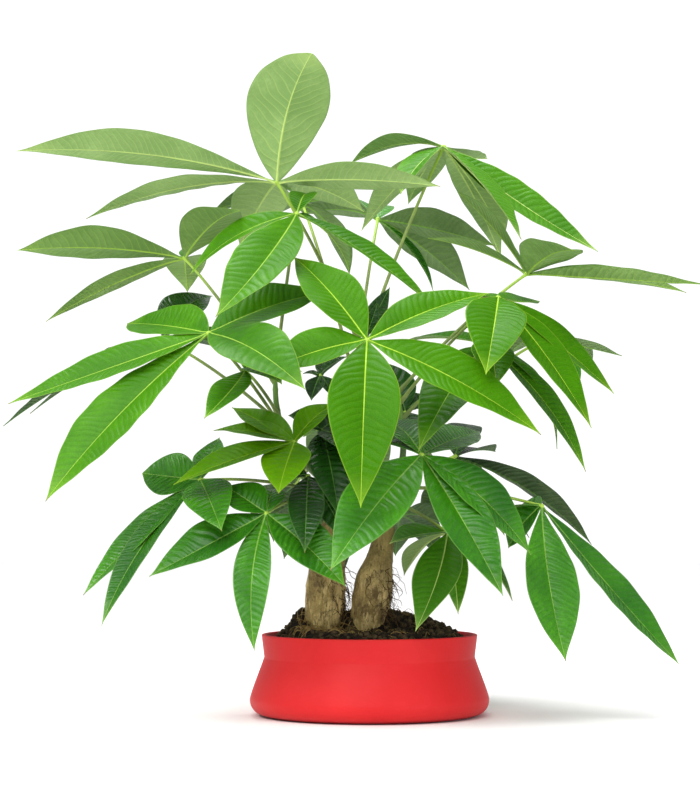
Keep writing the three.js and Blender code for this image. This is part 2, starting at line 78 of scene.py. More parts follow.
def unit(vector: Array) -> Array:
    """Scale vectors along the last axis to length one."""
    return vector / np.maximum(np.linalg.norm(vector, axis=-1, keepdims=True), 1e-9)


def smoothstep(value: Array | float, low: float, high: float) -> Array:
    """Rise smoothly from 0 at low to 1 at high."""
    share = np.clip((np.asarray(value, float) - low) / (high - low), 0, 1)
    return share * share * (3 - 2 * share)


# ---- The plans: what grows where, in millimetres ----


class Age(Enum):
    """How old a leaf is, which sets its colours. DARK and PALE also carry painted shade and painted light,
    as noted at each.
    """

    VIVID = "vivid"
    BRIGHT = "bright"
    # Partly painted light: low_centre takes these paler colours because it sits in shade.
    PALE = "pale"
    MATURE = "mature"
    # Partly the deep green of old leaves and partly painted shade: the leaves deep in the foliage take these
    # darkest colours.
    DARK = "dark"
    YOUNG = "young"


FULL_GROWN = (Age.MATURE, Age.DARK)


@dataclass(frozen=True)
class Leaflet:
    """One leaflet: its tip from the leaf's hub, its widest width, and what sets it apart.

    The turn is on its midrib in degrees. Arch and sway are the rise of its middle, and its shift to
    the right, over its length. A lower full fills the outline out, which is widest at the share of
    its length that widest gives.
    """

    right: float
    back: float
    up: float
    width: float
    turn: float = 0.0
    arch: float = 0.09
    sway: float = 0.0
    full: float = 1.1
    widest: float = 0.47


@dataclass(frozen=True)
class LeafPlan:
    """One leaf: the share of its shoot where the stalk leaves, its hub, and the way it faces."""

    name: str
    shoot: str
    at: float
    hub: Triple
    faces: Triple
    age: Age
    leaflets: tuple[Leaflet, ...]


@dataclass(frozen=True)
class ShootPlan:
    """One shoot: its name and the points up its middle."""

    name: str
    points: tuple[Triple, ...]


@dataclass(frozen=True)
class TrunkPlan:
    """One trunk: its name, the points up its middle, and the radius at each."""

    name: str
    points: tuple[Triple, ...]
    radii: tuple[float, ...]


TRUNKS = (
    TrunkPlan(
        "trunk_left",
        (
            (-40, -9, 25), (-37.5, -9, 72), (-36, -9, 96), (-34.5, -9, 116),
            (-31, -8, 136), (-26, -5, 162), (-21, -3, 193),
        ),
        (11, 14.5, 15.6, 14.5, 12, 10, 8.5),
    ),
    TrunkPlan(
        "trunk_right",
        (
            (-4, -12, 25), (-2, -12, 76), (0.8, -12, 93), (3.2, -12, 108),
            (6.5, -11, 119), (10, -10, 133), (15, -8, 172),
        ),
        (10, 13.2, 15.6, 14.8, 11.8, 9, 8),
    ),
)

SHOOTS = (
    ShootPlan(
        "left_tall",
        ((-24, -4, 177), (-52, -10, 202), (-69, -13, 228), (-74, -14, 248), (-75, -15, 271)),
    ),
    ShootPlan("middle_tall", ((-21, -3, 177), (-16, 4, 210), (-14, 8, 255), (-8, 10, 297))),
    ShootPlan("right_tall", ((14, -8, 155), (25, -2, 195), (27, 0, 225), (22, 0, 257))),
    ShootPlan("low_right", ((13, -9, 150), (24, -22, 168), (32, -32, 190))),
    ShootPlan("low_left", ((-28, -6, 155), (-42, -22, 171), (-54, -36, 193))),
    ShootPlan("rear_left", ((-25, -4, 163), (-30, 22, 190), (-29, 46, 216), (-28, 62, 238))),
    ShootPlan("rear_right", ((13, -9, 147), (25, 14, 170), (38, 34, 192), (48, 50, 211))),
)

LEAVES = (
    LeafPlan("crown", "middle_tall", 1, (-74, 0, 426), (0.05, 0.5, 0.86), Age.PALE, (
        Leaflet(-205, -20, 22, 46, arch=0.06, widest=0.57),
        Leaflet(-158, 45, -23, 31, arch=0.08, turn=-16, widest=0.54),
        Leaflet(29, -70, 89, 64, sway=0.045, full=0.7, widest=0.54),
        Leaflet(130, -20, -6, 34, arch=0.035), Leaflet(70, 55, -16, 42), Leaflet(-34, 85, -42, 46),
    )),
    LeafPlan("left_high", "left_tall", 0.93, (-151, 40, 370), (-0.1, 0.45, 0.88), Age.BRIGHT, (
        Leaflet(-132, -30, 3, 44, arch=0.045, widest=0.53), Leaflet(-116, 20, -50, 22, arch=0.045),
        Leaflet(49, -80, 28, 44), Leaflet(28, 45, 22, 34), Leaflet(-4, 90, -19, 36),
    )),
    LeafPlan("left_front", "left_tall", 0.58, (-123, -90, 298), (-0.1, -0.6, 0.79), Age.BRIGHT, (
        Leaflet(-71, 90, 15, 50, arch=0.02, full=0.95), Leaflet(-154, 10, -53, 40, arch=0),
        Leaflet(-116, -60, -128, 49, arch=0, sway=0.043, widest=0.54),
        Leaflet(75, -80, -47, 50, arch=0.08), Leaflet(90, 35, 35, 50, arch=0.045),
    )),
    LeafPlan("left_rear", "left_tall", 0.65, (-167, 20, 302), (-0.2, 0.1, 0.97), Age.DARK, (
        Leaflet(-133, 25, -69, 34, arch=0.04), Leaflet(-104, -25, -61, 32, arch=0.04),
        Leaflet(-59, 85, -3, 26, arch=-0.02), Leaflet(36, 70, 42, 36, turn=35), Leaflet(59, 60, -9, 36),
    )),
    LeafPlan("upper_front", "left_tall", 1, (-57, -45, 395), (0, -0.55, 0.83), Age.BRIGHT, (
        Leaflet(-59, -75, -87, 49, arch=0.02, sway=-0.045),
        Leaflet(105, -20, -73, 34, turn=-17, arch=0.04), Leaflet(-86, 30, -45, 34),
        Leaflet(8, 70, 24, 22), Leaflet(41, 60, -37, 32),
    )),
    LeafPlan("crown_rear", "middle_tall", 0.77, (-56, 95, 423), (0, 0.3, 0.95), Age.MATURE, (
        Leaflet(54, -35, -13, 36), Leaflet(40, 10, -60, 24, sway=0.08), Leaflet(-71, 40, -27, 34),
        Leaflet(-77, 25, -4, 34), Leaflet(0, 95, 2, 36),
    )),
    LeafPlan("centre_front", "middle_tall", 0.63, (-3, -125, 290), (0, -0.62, 0.78), Age.VIVID, (
        Leaflet(-5, -70, -125, 52, arch=0.1), Leaflet(128, -20, -71, 50, arch=0.05),
        Leaflet(95, 60, 41, 39, arch=0.045), Leaflet(-56, 60, 69, 44, arch=0.05),
        Leaflet(-73, -10, -23, 43, arch=0.05),
    )),
    LeafPlan("left_small", "left_tall", 0.72, (-96, -70, 271), (-0.1, -0.5, 0.86), Age.BRIGHT, (
        Leaflet(-27, -75, -40, 28, arch=0.02, sway=-0.04), Leaflet(30, -60, -14, 30),
        Leaflet(43, 10, 0, 28), Leaflet(11, 22, 14, 20),
    )),
    LeafPlan("right_low_front", "low_right", 1, (38, -115, 205), (0.1, -0.62, 0.78), Age.MATURE, (
        Leaflet(-68, -65, -85, 50, arch=0.06), Leaflet(58, -45, -104, 42, arch=0.03),
        Leaflet(82, 0, -75, 42, arch=0.08), Leaflet(-34, 75, 6, 34), Leaflet(-28, 85, 26, 34),
        Leaflet(51, 125, 22, 36, arch=0.02),
    )),
    LeafPlan("right_front", "right_tall", 0.91, (99, -60, 328), (0.15, -0.5, 0.85), Age.VIVID, (
        Leaflet(-15, -90, -65, 46, arch=0.08), Leaflet(92, 20, -73, 40, arch=0.02),
        Leaflet(69, -30, -102, 38, arch=0.04), Leaflet(39, 80, 5, 26, arch=-0.02),
        Leaflet(-23, 75, 11, 24, arch=-0.02),
    )),
    LeafPlan("right_high", "right_tall", 1, (126, 0, 353), (0.1, 0.35, 0.93), Age.BRIGHT, (
        Leaflet(135, -45, -13, 35, arch=0, turn=8), Leaflet(132, 30, -12, 28, arch=0.04),
        Leaflet(29, -90, 8, 47, arch=0.07), Leaflet(-53, 50, 73, 44, arch=0.03),
        Leaflet(-77, 60, 36, 26, arch=0.04),
    )),
    LeafPlan("crown_right", "middle_tall", 0.84, (61, 40, 461), (0.1, 0.1, 0.99), Age.PALE, (
        Leaflet(123, -30, -89, 39, arch=-0.02, turn=45), Leaflet(59, -60, -83, 40, arch=0.04),
        Leaflet(54, 60, -70, 50, arch=0.05), Leaflet(-77, 40, -8, 32, arch=0.11),
        Leaflet(-36, -30, -43, 38), Leaflet(-67, 35, -64, 38, arch=0.06),
        Leaflet(41, 85, 4, 26, arch=-0.03), Leaflet(-27, 80, -36, 32),
        Leaflet(53, 85, -82, 34, arch=0.04),
    )),
    LeafPlan("upper_rear", "middle_tall", 0.7, (8, 110, 411), (0.1, 0.5, 0.86), Age.MATURE, (
        Leaflet(98, -20, -25, 42, arch=0.03), Leaflet(80, 40, -56, 44, arch=0.06),
        Leaflet(-67, 50, 11, 34), Leaflet(46, -30, -64, 16, turn=50), Leaflet(-10, 80, 17, 34),
    )),
    LeafPlan("heart_front", "low_left", 1, (-38, -30, 226), (0, -0.5, 0.86), Age.DARK, (
        Leaflet(14, -65, -68, 35), Leaflet(38, -30, -54, 30), Leaflet(33, -55, -24, 32),
        Leaflet(-26, -5, 12, 30), Leaflet(24, 10, 15, 30),
    )),
    LeafPlan("low_left_front", "low_left", 0.58, (-79, -95, 161), (-0.05, -0.62, 0.78), Age.MATURE, (
        Leaflet(-87, -20, -47, 42, arch=0), Leaflet(-7, -45, -102, 28, arch=0.06, sway=0.05),
        Leaflet(60, -35, -54, 40, arch=0.05), Leaflet(-32, 17, 21, 34, arch=0.02), Leaflet(5, 31, 19, 24),
    )),
    LeafPlan("low_left", "low_left", 0.7, (-132, -50, 187), (-0.2, -0.45, 0.87), Age.MATURE, (
        Leaflet(-48, 30, 6, 38, arch=0, turn=-30, full=0.85), Leaflet(21, -75, -39, 38, arch=0.06),
        Leaflet(-90, -10, -89, 34, arch=0.02, widest=0.5),
        Leaflet(-72, -45, -111, 27, arch=0.04, sway=0.045), Leaflet(12, 50, 35, 24, arch=0.02),
    )),
    LeafPlan("young_light", "low_left", 0.86, (-58, -70, 216), (-0.1, -0.4, 0.91), Age.YOUNG, (
        Leaflet(-91, -30, -33, 36, arch=0.03), Leaflet(-64, 25, 10, 30, arch=0.05),
        Leaflet(-51, 48, 29, 28, arch=0.02), Leaflet(-11, -50, -40, 38, arch=0.04),
        Leaflet(31, 10, 30, 32),
    )),
    LeafPlan("heart_small", "middle_tall", 0.52, (-39, -20, 270), (0, -0.3, 0.95), Age.DARK, (
        Leaflet(-14, 2, 2, 10), Leaflet(-7, -12, -20, 16), Leaflet(10, -12, -18, 14),
        Leaflet(22, 8, 16, 16), Leaflet(4, 20, 13, 12),
    )),
    LeafPlan("right_inner", "right_tall", 0.8, (93, -10, 296), (0.1, -0.35, 0.93), Age.BRIGHT, (
        Leaflet(77, -20, -102, 32, arch=0.07), Leaflet(58, 20, -83, 26, arch=0.15),
        Leaflet(4, -58, -37, 34), Leaflet(-58, -118, -89, 44, arch=0.06),
        Leaflet(-65, 80, 8, 30, arch=0.04),
    )),
    LeafPlan("right_outer", "right_tall", 0.6, (146, 50, 306), (0.2, 0.1, 0.97), Age.MATURE, (
        Leaflet(64, 15, -14, 28, arch=0), Leaflet(43, 75, -26, 34), Leaflet(-27, 75, -10, 32),
        Leaflet(16, -40, -54, 32),
    )),
    LeafPlan("right_low", "right_tall", 0.3, (69, 10, 207), (0.1, 0.2, 0.97), Age.DARK, (
        Leaflet(112, 20, -71, 40, arch=0.075), Leaflet(58, -20, -65, 36, arch=0.04),
        Leaflet(37, 70, 6, 32, arch=0.04), Leaflet(15, 58, 28, 32), Leaflet(15, 55, -35, 30),
    )),
    LeafPlan("low_right", "low_right", 0.8, (133, -55, 167), (0.2, -0.45, 0.87), Age.MATURE, (
        Leaflet(15, -40, -118, 44, arch=0, sway=0.03, widest=0.52),
        Leaflet(105, -10, -122, 38, arch=-0.01, full=0.95, widest=0.54), Leaflet(-22, 20, -5, 32),
        Leaflet(-25, 10, -33, 32),
    )),
    # Painted light: low_centre takes the paler PALE colours to lift a leaf that sits in shade.
    LeafPlan("low_centre", "low_right", 0.5, (61, -30, 146), (0, -0.3, 0.95), Age.PALE, (
        Leaflet(-27, -65, -74, 37, arch=0.04, sway=-0.05), Leaflet(7, -32, -63, 22),
        Leaflet(52, 10, -54, 34), Leaflet(-33, 50, -35, 30), Leaflet(-46, -28, -8, 36, arch=0.05),
    )),
    LeafPlan("bud", "middle_tall", 0.92, (-3, -10, 302), (0.3, -0.6, 0.75), Age.DARK, (
        Leaflet(19, -12, 38, 16, arch=0.05), Leaflet(10, -10, 28, 10), Leaflet(17, -12, 14, 10),
    )),
    LeafPlan("rear_centre", "rear_left", 1, (-16, 140, 233), (0, 0.5, 0.86), Age.MATURE, (
        Leaflet(-36, 95, -32, 40), Leaflet(32, 105, -41, 40), Leaflet(63, 60, -6, 36),
        Leaflet(-41, 50, -4, 34), Leaflet(2, -40, 16, 26),
    )),
    LeafPlan("rear_left_low", "rear_left", 0.75, (-62, 115, 186), (-0.3, 0.4, 0.87), Age.DARK, (
        Leaflet(-40, 58, -30, 36), Leaflet(-22, 94, -50, 38), Leaflet(28, 86, -37, 34),
        Leaflet(-19, 6, 28, 31), Leaflet(13, -45, 17, 28),
    )),
    LeafPlan("rear_right_low", "rear_right", 1, (74, 115, 181), (0.3, 0.4, 0.87), Age.MATURE, (
        Leaflet(46, 60, -39, 36), Leaflet(13, 100, -52, 38), Leaflet(-27, 85, -34, 34),
        Leaflet(35, -15, -2, 32), Leaflet(-15, -40, 18, 28),
    )),
    LeafPlan("rear_low", "rear_right", 0.6, (27, 135, 160), (0.1, 0.5, 0.86), Age.DARK, (
        Leaflet(36, 70, -36, 34), Leaflet(-2, 85, -37, 34), Leaflet(-38, 45, -18, 32),
        Leaflet(35, 15, -6, 32), Leaflet(-5, -45, 14, 26),
    )),
    LeafPlan("rear_heart", "rear_left", 0.45, (-43, 120, 173), (-0.1, 0.5, 0.86), Age.DARK, (
        Leaflet(-31, 65, -52, 36), Leaflet(5, 80, -49, 36), Leaflet(21, 20, -66, 36),
        Leaflet(-39, 5, -13, 32), Leaflet(-2, -40, 10, 26),
    )),
    LeafPlan("heart_low", "low_left", 0.3, (-48, -60, 190), (0, -0.6, 0.8), Age.DARK, (
        Leaflet(-1, -78, -58, 28, arch=0.05), Leaflet(30, -18, -52, 28), Leaflet(-26, 14, -2, 20),
        Leaflet(10, 10, -38, 22),
    )),
    LeafPlan("heart_right", "right_tall", 0.55, (29, 40, 244), (0.1, -0.5, 0.86), Age.DARK, (
        Leaflet(-15, 5, 41, 30), Leaflet(20, 15, 14, 24), Leaflet(10, -25, -28, 24),
        Leaflet(-15, -20, -29, 28),
    )),
)


# ---- Curves and meshes ----


def catmull(points: tuple[Triple, ...], steps: int) -> Array:
    """Draw a smooth curve through points, evenly spaced along its length.

    Args:
        points: The points that the curve passes through.
        steps: How many spans the result has.

    Returns:
        Points on the curve, one row each.
    """
    knots = [np.array(p, float) for p in points]
    knots = [2 * knots[0] - knots[1], *knots, 2 * knots[-1] - knots[-2]]
    w = np.linspace(0, 1, 24, endpoint=False)[:, None]
    dense: list[Array] = []
    for p0, p1, p2, p3 in zip(knots, knots[1:], knots[2:], knots[3:]):
        d0, d1, d2 = (math.sqrt(np.linalg.norm(b - a)) for a, b in ((p0, p1), (p1, p2), (p2, p3)))
        m1 = ((p1 - p0) / d0 - (p2 - p0) / (d0 + d1) + (p2 - p1) / d1) * d1
        m2 = ((p2 - p1) / d1 - (p3 - p1) / (d1 + d2) + (p3 - p2) / d2) * d1
        square, cube = 3 * (p2 - p1) - 2 * m1 - m2, 2 * (p1 - p2) + m1 + m2
        dense.extend(p1 + m1 * w + square * w**2 + cube * w**3)
    line = np.array([*dense, knots[-2]])
    lengths = np.concatenate([[0], np.cumsum(np.linalg.norm(np.diff(line, axis=0), axis=1))])
    wanted = np.linspace(0, lengths[-1], steps + 1)
    return np.stack([np.interp(wanted, lengths, line[:, axis]) for axis in range(3)], axis=1)


def bezier(start: Array, middle: Array, end: Array, share: Array) -> Array:
    """Points of a quadratic curve at some shares of it."""
    t = share[:, None]
    return (1 - t) ** 2 * start + 2 * t * (1 - t) * middle + t**2 * end


def circle(radius: float, height: float, around: int) -> Array:
    """Points round a level circle about the pot's axis."""
    angle = np.linspace(0, math.tau, around, endpoint=False)
    return np.stack([radius * np.cos(angle), radius * np.sin(angle), np.full_like(angle, height)], axis=1)


def frames_along(line: Array) -> tuple[Array, Array]:
    """Carry a frame along a line without twisting it.

    Args:
        line: Points on the line.

    Returns:
        Two vectors square to the line and to each other, at each point.
    """
    tangents = unit(np.gradient(line, axis=0))
    side = unit(np.cross(tangents[0], (0.0, 1.0, 0.0)))
    sides = []
    for tangent in tangents:
        side = unit(side - tangent * side.dot(tangent))
        sides.append(side)
    return np.array(sides), np.cross(tangents, np.array(sides))


def quads(rings: int, around: int, first: int = 0) -> list[tuple[int, ...]]:
    """Give the corners of the faces that join rings of points.

    Args:
        rings: How many rings there are.
        around: How many points each ring has.
        first: The number of the first point.

    Returns:
        The corners of each face, ring by ring.
    """
    return [
        (base + i, base + (i + 1) % around, base + around + (i + 1) % around, base + around + i)
        for base in range(first, first + (rings - 1) * around, around)
        for i in range(around)
    ]


def link(name: str, data: ID) -> Object:
    """Put a mesh, a light or a camera in the scene.

    Args:
        name: The object's name.
        data: What the object holds.

    Returns:
        The new object.
    """
    item = bpy.data.objects.new(name, data)
    bpy.context.scene.collection.objects.link(item)
    return item


def set_attributes(mesh: bpy.types.Mesh, attributes: dict[str, list[Array]]) -> None:
    """Store numbers or vectors at the points of a mesh.

    Args:
        mesh: The mesh.
        attributes: Runs of values, by the attribute's name.
    """
    for name, runs in attributes.items():
        values = np.concatenate(runs).astype(np.float32)
        kind, part = ("FLOAT", "value") if values.ndim == 1 else ("FLOAT_VECTOR", "vector")
        mesh.attributes.new(name, kind, "POINT").data.foreach_set(part, values.ravel())


@dataclass
class Mesh:
    """A mesh being put together, with attributes that its materials read.

    On a leaflet, span holds the distance along the midrib, across it and in from the margin, in
    metres. Place holds the share of the length, the nearness to the margin, and a tone that varies
    by leaflet. Turns counts the side veins.
    """

    points: list[Array] = field(default_factory=list)
    attributes: dict[str, list[Array]] = field(default_factory=dict)
    faces: list[tuple[int, ...]] = field(default_factory=list)
    slots: list[int] = field(default_factory=list)
    count: int = 0

    def add(self, points: Array, **attributes: Array) -> None:
        """Add points.

        Args:
            points: Their places in millimetres.
            attributes: What each attribute is at them.
        """
        self.points.append(points * MM)
        self.count += len(points)
        for name, values in attributes.items():
            self.attributes.setdefault(name, []).append(values)

    def loft(self, rings: int, slots: list[int], end_slot: int = 0) -> None:
        """Join the rings of points added last into a closed skin.

        Args:
            rings: How many rings there are.
            slots: The material slot of each strip round a ring.
            end_slot: The material slot of the two ends.
        """
        around = len(slots)
        first, last = self.count - rings * around, self.count - around
        self.faces.extend(quads(rings, around, first))
        self.faces.append(tuple(range(first + around - 1, first - 1, -1)))
        self.faces.append(tuple(range(last, last + around)))
        self.slots.extend([*slots * (rings - 1), end_slot, end_slot])

    def object(self, name: str, materials: list[Material]) -> Object:
        """Make the Blender object.

        Args:
            name: The object's name.
            materials: The materials of its slots.

        Returns:
            The object, linked to the scene.
        """
        mesh = bpy.data.meshes.new(name)
        mesh.from_pydata(np.concatenate(self.points).tolist(), [], self.faces)
        for material in materials:
            mesh.materials.append(material)
        mesh.polygons.foreach_set("material_index", self.slots)
        mesh.polygons.foreach_set("use_smooth", [True] * len(self.faces))
        set_attributes(mesh, self.attributes)
        mesh.update()
        return link(name, mesh)


def closed_body(name: str, rings: list[Array], material: Material) -> Object:
    """Join rings of points into one closed piece.

    Args:
        name: The piece's name.
        rings: The rings, from one end to the other.
        material: The piece's material.

    Returns:
        The piece.
    """
    mesh = Mesh()
    for ring in rings:
        mesh.add(ring)
    mesh.loft(len(rings), [0] * len(rings[0]))
    return mesh.object(name, [material])


def register(item: Object, slot: str, *nodes: str) -> None:
    """Attach a finished piece to the root body, and hide the solids that it stands for.

    Args:
        item: The piece.
        slot: Not used.
        nodes: The solids that it stands for.
    """
    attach(item, ROOT)
    if nodes:
        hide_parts(*nodes)
    log.info("%s: %d faces", item.name, len(item.data.polygons))


# ---- Node trees ----


@dataclass
class Wiring:
    """A node tree being wired, with short calls for the nodes used most."""

    tree: NodeTree

    def place(self, kind: str, inputs: dict[str | int, object], **settings: object) -> Node:
        """Add a node.

        Args:
            kind: The node's type.
            inputs: What each of its inputs gets, by the input's name or number.
            settings: Its properties.

        Returns:
            The node.
        """
        node = self.tree.nodes.new(kind)
        for name, value in settings.items():
            setattr(node, name, value)
        for name, value in inputs.items():
            self.feed(node.inputs[name], value)
        return node

    def feed(self, socket: NodeSocket, value: object) -> None:
        """Link a socket to an output, or set its value.

        Args:
            socket: The socket.
            value: The output or the value.
        """
        if isinstance(value, Output):
            self.tree.links.new(value.socket, socket)
        else:
            socket.default_value = value

    def node(self, kind: str, inputs: dict[str | int, object], **settings: object) -> Output:
        """Add a node and take its first output."""
        return Output(self, self.place(kind, inputs, **settings).outputs[0])

    def sources(self, kind: str, inputs: dict[str | int, object], **settings: object) -> dict[str, Output]:
        """Add a node and take its outputs by name."""
        return {socket.name: Output(self, socket) for socket in self.place(kind, inputs, **settings).outputs}

    def mix(self, factor: object, a: object, b: object) -> Output:
        """Mix two colours."""
        node = self.place("ShaderNodeMix", {"Factor": factor, 6: a, 7: b}, data_type="RGBA")
        return Output(self, node.outputs[2])

    def layered(self, base: object, *layers: tuple[object, object]) -> Output:
        """Lay colours over a base.

        Args:
            base: The colour underneath.
            layers: How much each layer covers, and its colour, from the bottom up.

        Returns:
            The colour on top.
        """
        for cover, colour in layers:
            base = self.mix(cover, base, colour)
        return base

    def noise(self, vector: object, scale: object, detail: float = 3.0, rough: float = 0.55) -> Output:
        """Noise from 0 to 1 at a scale of waves to the metre."""
        inputs = {"Vector": vector, "Scale": scale, "Detail": detail, "Roughness": rough}
        return self.node("ShaderNodeTexNoise", inputs)

    def scaled(self, vector: object, by: Triple) -> Output:
        """Stretch a vector on each axis."""
        return self.node("ShaderNodeVectorMath", {0: vector, 1: by}, operation="MULTIPLY")

    def bump(self, height: object, distance: float) -> Output:
        """A normal from a height from 0 to 1, over a distance in metres."""
        return self.node("ShaderNodeBump", {"Strength": 1.0, "Distance": distance, "Height": height})

    def split(self, vector: object) -> list[Output]:
        """The three parts of a vector."""
        return list(self.sources("ShaderNodeSeparateXYZ", {0: vector}).values())

    def attribute(self, name: str, part: str = "Vector") -> Output:
        """An attribute of the mesh."""
        return self.sources("ShaderNodeAttribute", {}, attribute_name=name)[part]

    def position(self) -> Output:
        """The place on the object, in metres."""
        return self.sources("ShaderNodeTexCoord", {})["Object"]

    def group(self, tree: NodeTree, **inputs: object) -> dict[str, Output]:
        """Place a node group, feed its inputs and give its outputs by name."""
        return self.sources("ShaderNodeGroup", inputs, node_tree=tree)

    def mottled(self, vector: object, scale: float, light: Colour, dark: Colour) -> dict[str, Output]:
        """Place the mottle group."""
        return self.group(mottle_group(), Vector=vector, Scale=scale, Light=light, Dark=dark)

    def end(self, **outputs: object) -> NodeTree:
        """Feed the tree's own outputs by name, and give the tree."""
        self.place("NodeGroupOutput", outputs)
        return self.tree


@dataclass(frozen=True)
class Output:
    """An output of a node, which sums, products and smooth steps are worked out from."""

    wiring: Wiring
    socket: NodeSocket

    def math(self, operation: str, other: object = 0.0) -> Output:
        """Work out a number from this one and another."""
        return self.wiring.node("ShaderNodeMath", {0: self, 1: other}, operation=operation)

    def __add__(self, other: object) -> Output:
        """Add another."""
        return self.math("ADD", other)

    def __sub__(self, other: object) -> Output:
        """Take another away."""
        return self.math("SUBTRACT", other)

    def __rsub__(self, other: object) -> Output:
        """Take this away from a number."""
        return self.wiring.node("ShaderNodeMath", {0: other, 1: self}, operation="SUBTRACT")

    def __mul__(self, other: object) -> Output:
        """Multiply by another."""
        return self.math("MULTIPLY", other)

    def __abs__(self) -> Output:
        """Drop the sign."""
        return self.math("ABSOLUTE")

    def rise(self, low: object, high: object, start: float = 0.0, end: float = 1.0) -> Output:
        """Map it smoothly from low..high to start..end."""
        inputs = dict(enumerate((self, low, high, start, end)))
        return self.wiring.node("ShaderNodeMapRange", inputs, interpolation_type="SMOOTHSTEP")

    def fall(self, low: object, high: object) -> Output:
        """Map it smoothly from 1 at low to 0 at high."""
        return self.rise(low, high, 1.0, 0.0)


def start_tree(
    kind: str, name: str, inputs: dict[str, str], outputs: dict[str, str]
) -> tuple[Wiring, dict[str, Output]]:
    """Start a node group or a geometry tree.

    Args:
        kind: The tree's type.
        name: The tree's name.
        inputs: The kind of each input socket, by name.
        outputs: The kind of each output socket, by name.

    Returns:
        The tree to wire, and its inputs by name.
    """
    tree = bpy.data.node_groups.new(name, kind)
    for in_out, sockets in (("INPUT", inputs), ("OUTPUT", outputs)):
        for label, socket_kind in sockets.items():
            tree.interface.new_socket(name=label, in_out=in_out, socket_type=f"NodeSocket{socket_kind}")
    wiring = Wiring(tree)
    return wiring, wiring.sources("NodeGroupInput", {})


@functools.cache
def mottle_group() -> NodeTree:
    """Wire blotches of two colours at a coarse and a fine scale, for every surface here.

    Returns:
        The shader group.
    """
    wiring, inside = start_tree(
        "ShaderNodeTree",
        "Mottle",
        {"Vector": "Vector", "Scale": "Float", "Light": "Color", "Dark": "Color"},
        {"Color": "Color", "Mask": "Float"},
    )
    finer, coarse_share = 9.0, 0.65
    coarse = wiring.noise(inside["Vector"], inside["Scale"], 2.0)
    fine = wiring.noise(inside["Vector"], inside["Scale"] * finer, 4.0, 0.65)
    mask = (coarse * coarse_share + fine * (1 - coarse_share)).rise(0.32, 0.68)
    return wiring.end(Mask=mask, Color=wiring.mix(mask, inside["Light"], inside["Dark"]))


@functools.cache
def vein_group() -> NodeTree:
    """Wire the midrib, the side veins, the panels between them, a fine net and the thin margin.

    Returns:
        The shader group.
    """
    wiring, inside = start_tree(
        "ShaderNodeTree",
        "Leaf veins",
        {"Span": "Vector", "Place": "Vector", "Turns": "Float", "Rib": "Float"},
        dict.fromkeys(("Midrib", "Veins", "Panel", "Pillow", "Net", "Margin"), "Float"),
    )
    _, side, inset = wiring.split(inside["Span"])
    share, edge, _ = wiring.split(inside["Place"])
    vein_width, panel_width, pillow_width = 0.11, 0.16, 0.42
    cells, margin_width = 620.0, 0.001
    off = abs(inside["Turns"].math("FRACT") - 0.5)
    clear = edge.fall(0.7, 0.97) * share.rise(0.02, 0.09)
    flat = edge.rise(0.75, 1.0)
    rib_width = inside["Rib"] * share.rise(0.0, 1.0, 1.0, 0.3)
    net = wiring.node(
        "ShaderNodeTexVoronoi", {"Vector": inside["Span"], "Scale": cells}, feature="DISTANCE_TO_EDGE"
    )
    return wiring.end(
        Midrib=abs(side).fall(rib_width * 0.5, rib_width),
        Veins=off.fall(0.0, vein_width) * clear,
        Panel=off.rise(0.0, panel_width).math("MAXIMUM", flat),
        Pillow=off.rise(0.0, pillow_width).math("MAXIMUM", flat),
        Net=net.rise(0.0, 0.18),
        Margin=inset.fall(margin_width / 5, margin_width),
    )


@functools.cache
def streak_group() -> NodeTree:
    """Wire fine streaks that run along a stem, as a mask and as a height.

    Returns:
        The shader group.
    """
    wiring, inside = start_tree(
        "ShaderNodeTree",
        "Streaks",
        {"Vector": "Vector", "Scale": "Float"},
        {"Mask": "Float", "Height": "Float"},
    )
    upright, broader, fine_share = 0.13, 0.3, 0.6
    drawn = wiring.scaled(inside["Vector"], (1.0, 1.0, upright))
    fine = wiring.noise(drawn, inside["Scale"], 5.0, 0.65)
    broad = wiring.noise(drawn, inside["Scale"] * broader, 2.0)
    height = fine * fine_share + broad * (1 - fine_share)
    return wiring.end(Height=height, Mask=height.rise(0.38, 0.62))


@functools.cache
def sweep_tree() -> NodeTree:
    """Turn lines of edges into round tubes as thick as their girth attribute says.

    Returns:
        The geometry tree.
    """
    wiring, inside = start_tree(
        "GeometryNodeTree",
        "Sweep",
        {"Geometry": "Geometry", "Sides": "Int", "Material": "Material"},
        {"Geometry": "Geometry"},
    )
    line = wiring.node("GeometryNodeMeshToCurve", {"Mesh": inside["Geometry"]})
    girth = wiring.node("GeometryNodeInputNamedAttribute", {"Name": "girth"}, data_type="FLOAT")
    ring = wiring.node("GeometryNodeCurvePrimitiveCircle", {"Resolution": inside["Sides"], "Radius": 1.0})
    inputs = {"Curve": line, "Profile Curve": ring, "Scale": girth, "Fill Caps": True}
    return end_geometry(wiring, wiring.node("GeometryNodeCurveToMesh", inputs), inside["Material"])


@functools.cache
def scatter_tree() -> NodeTree:
    """Strew small uneven crumbs over a surface.

    Returns:
        The geometry tree.
    """
    wiring, inside = start_tree(
        "GeometryNodeTree",
        "Scatter crumbs",
        {
            "Geometry": "Geometry", "Density": "Float", "Smallest": "Float", "Largest": "Float",
            "Seed": "Int", "Material": "Material",
        },
        {"Geometry": "Geometry"},
    )
    seed, any_turn = inside["Seed"], (math.tau, math.tau, math.tau)
    spread = {"Mesh": inside["Geometry"], "Density": inside["Density"], "Seed": seed}
    limits = {"Min": inside["Smallest"], "Max": inside["Largest"], "Seed": seed}
    inputs = {
        "Points": wiring.node("GeometryNodeDistributePointsOnFaces", spread),
        "Instance": wiring.node("GeometryNodeMeshIcoSphere", {"Radius": 1.0, "Subdivisions": 1}),
        "Rotation": wiring.node("FunctionNodeRandomValue", {"Max": any_turn}, data_type="FLOAT_VECTOR"),
        "Scale": wiring.node("FunctionNodeRandomValue", limits, data_type="FLOAT_VECTOR"),
    }
    return end_geometry(wiring, wiring.node("GeometryNodeInstanceOnPoints", inputs), inside["Material"])


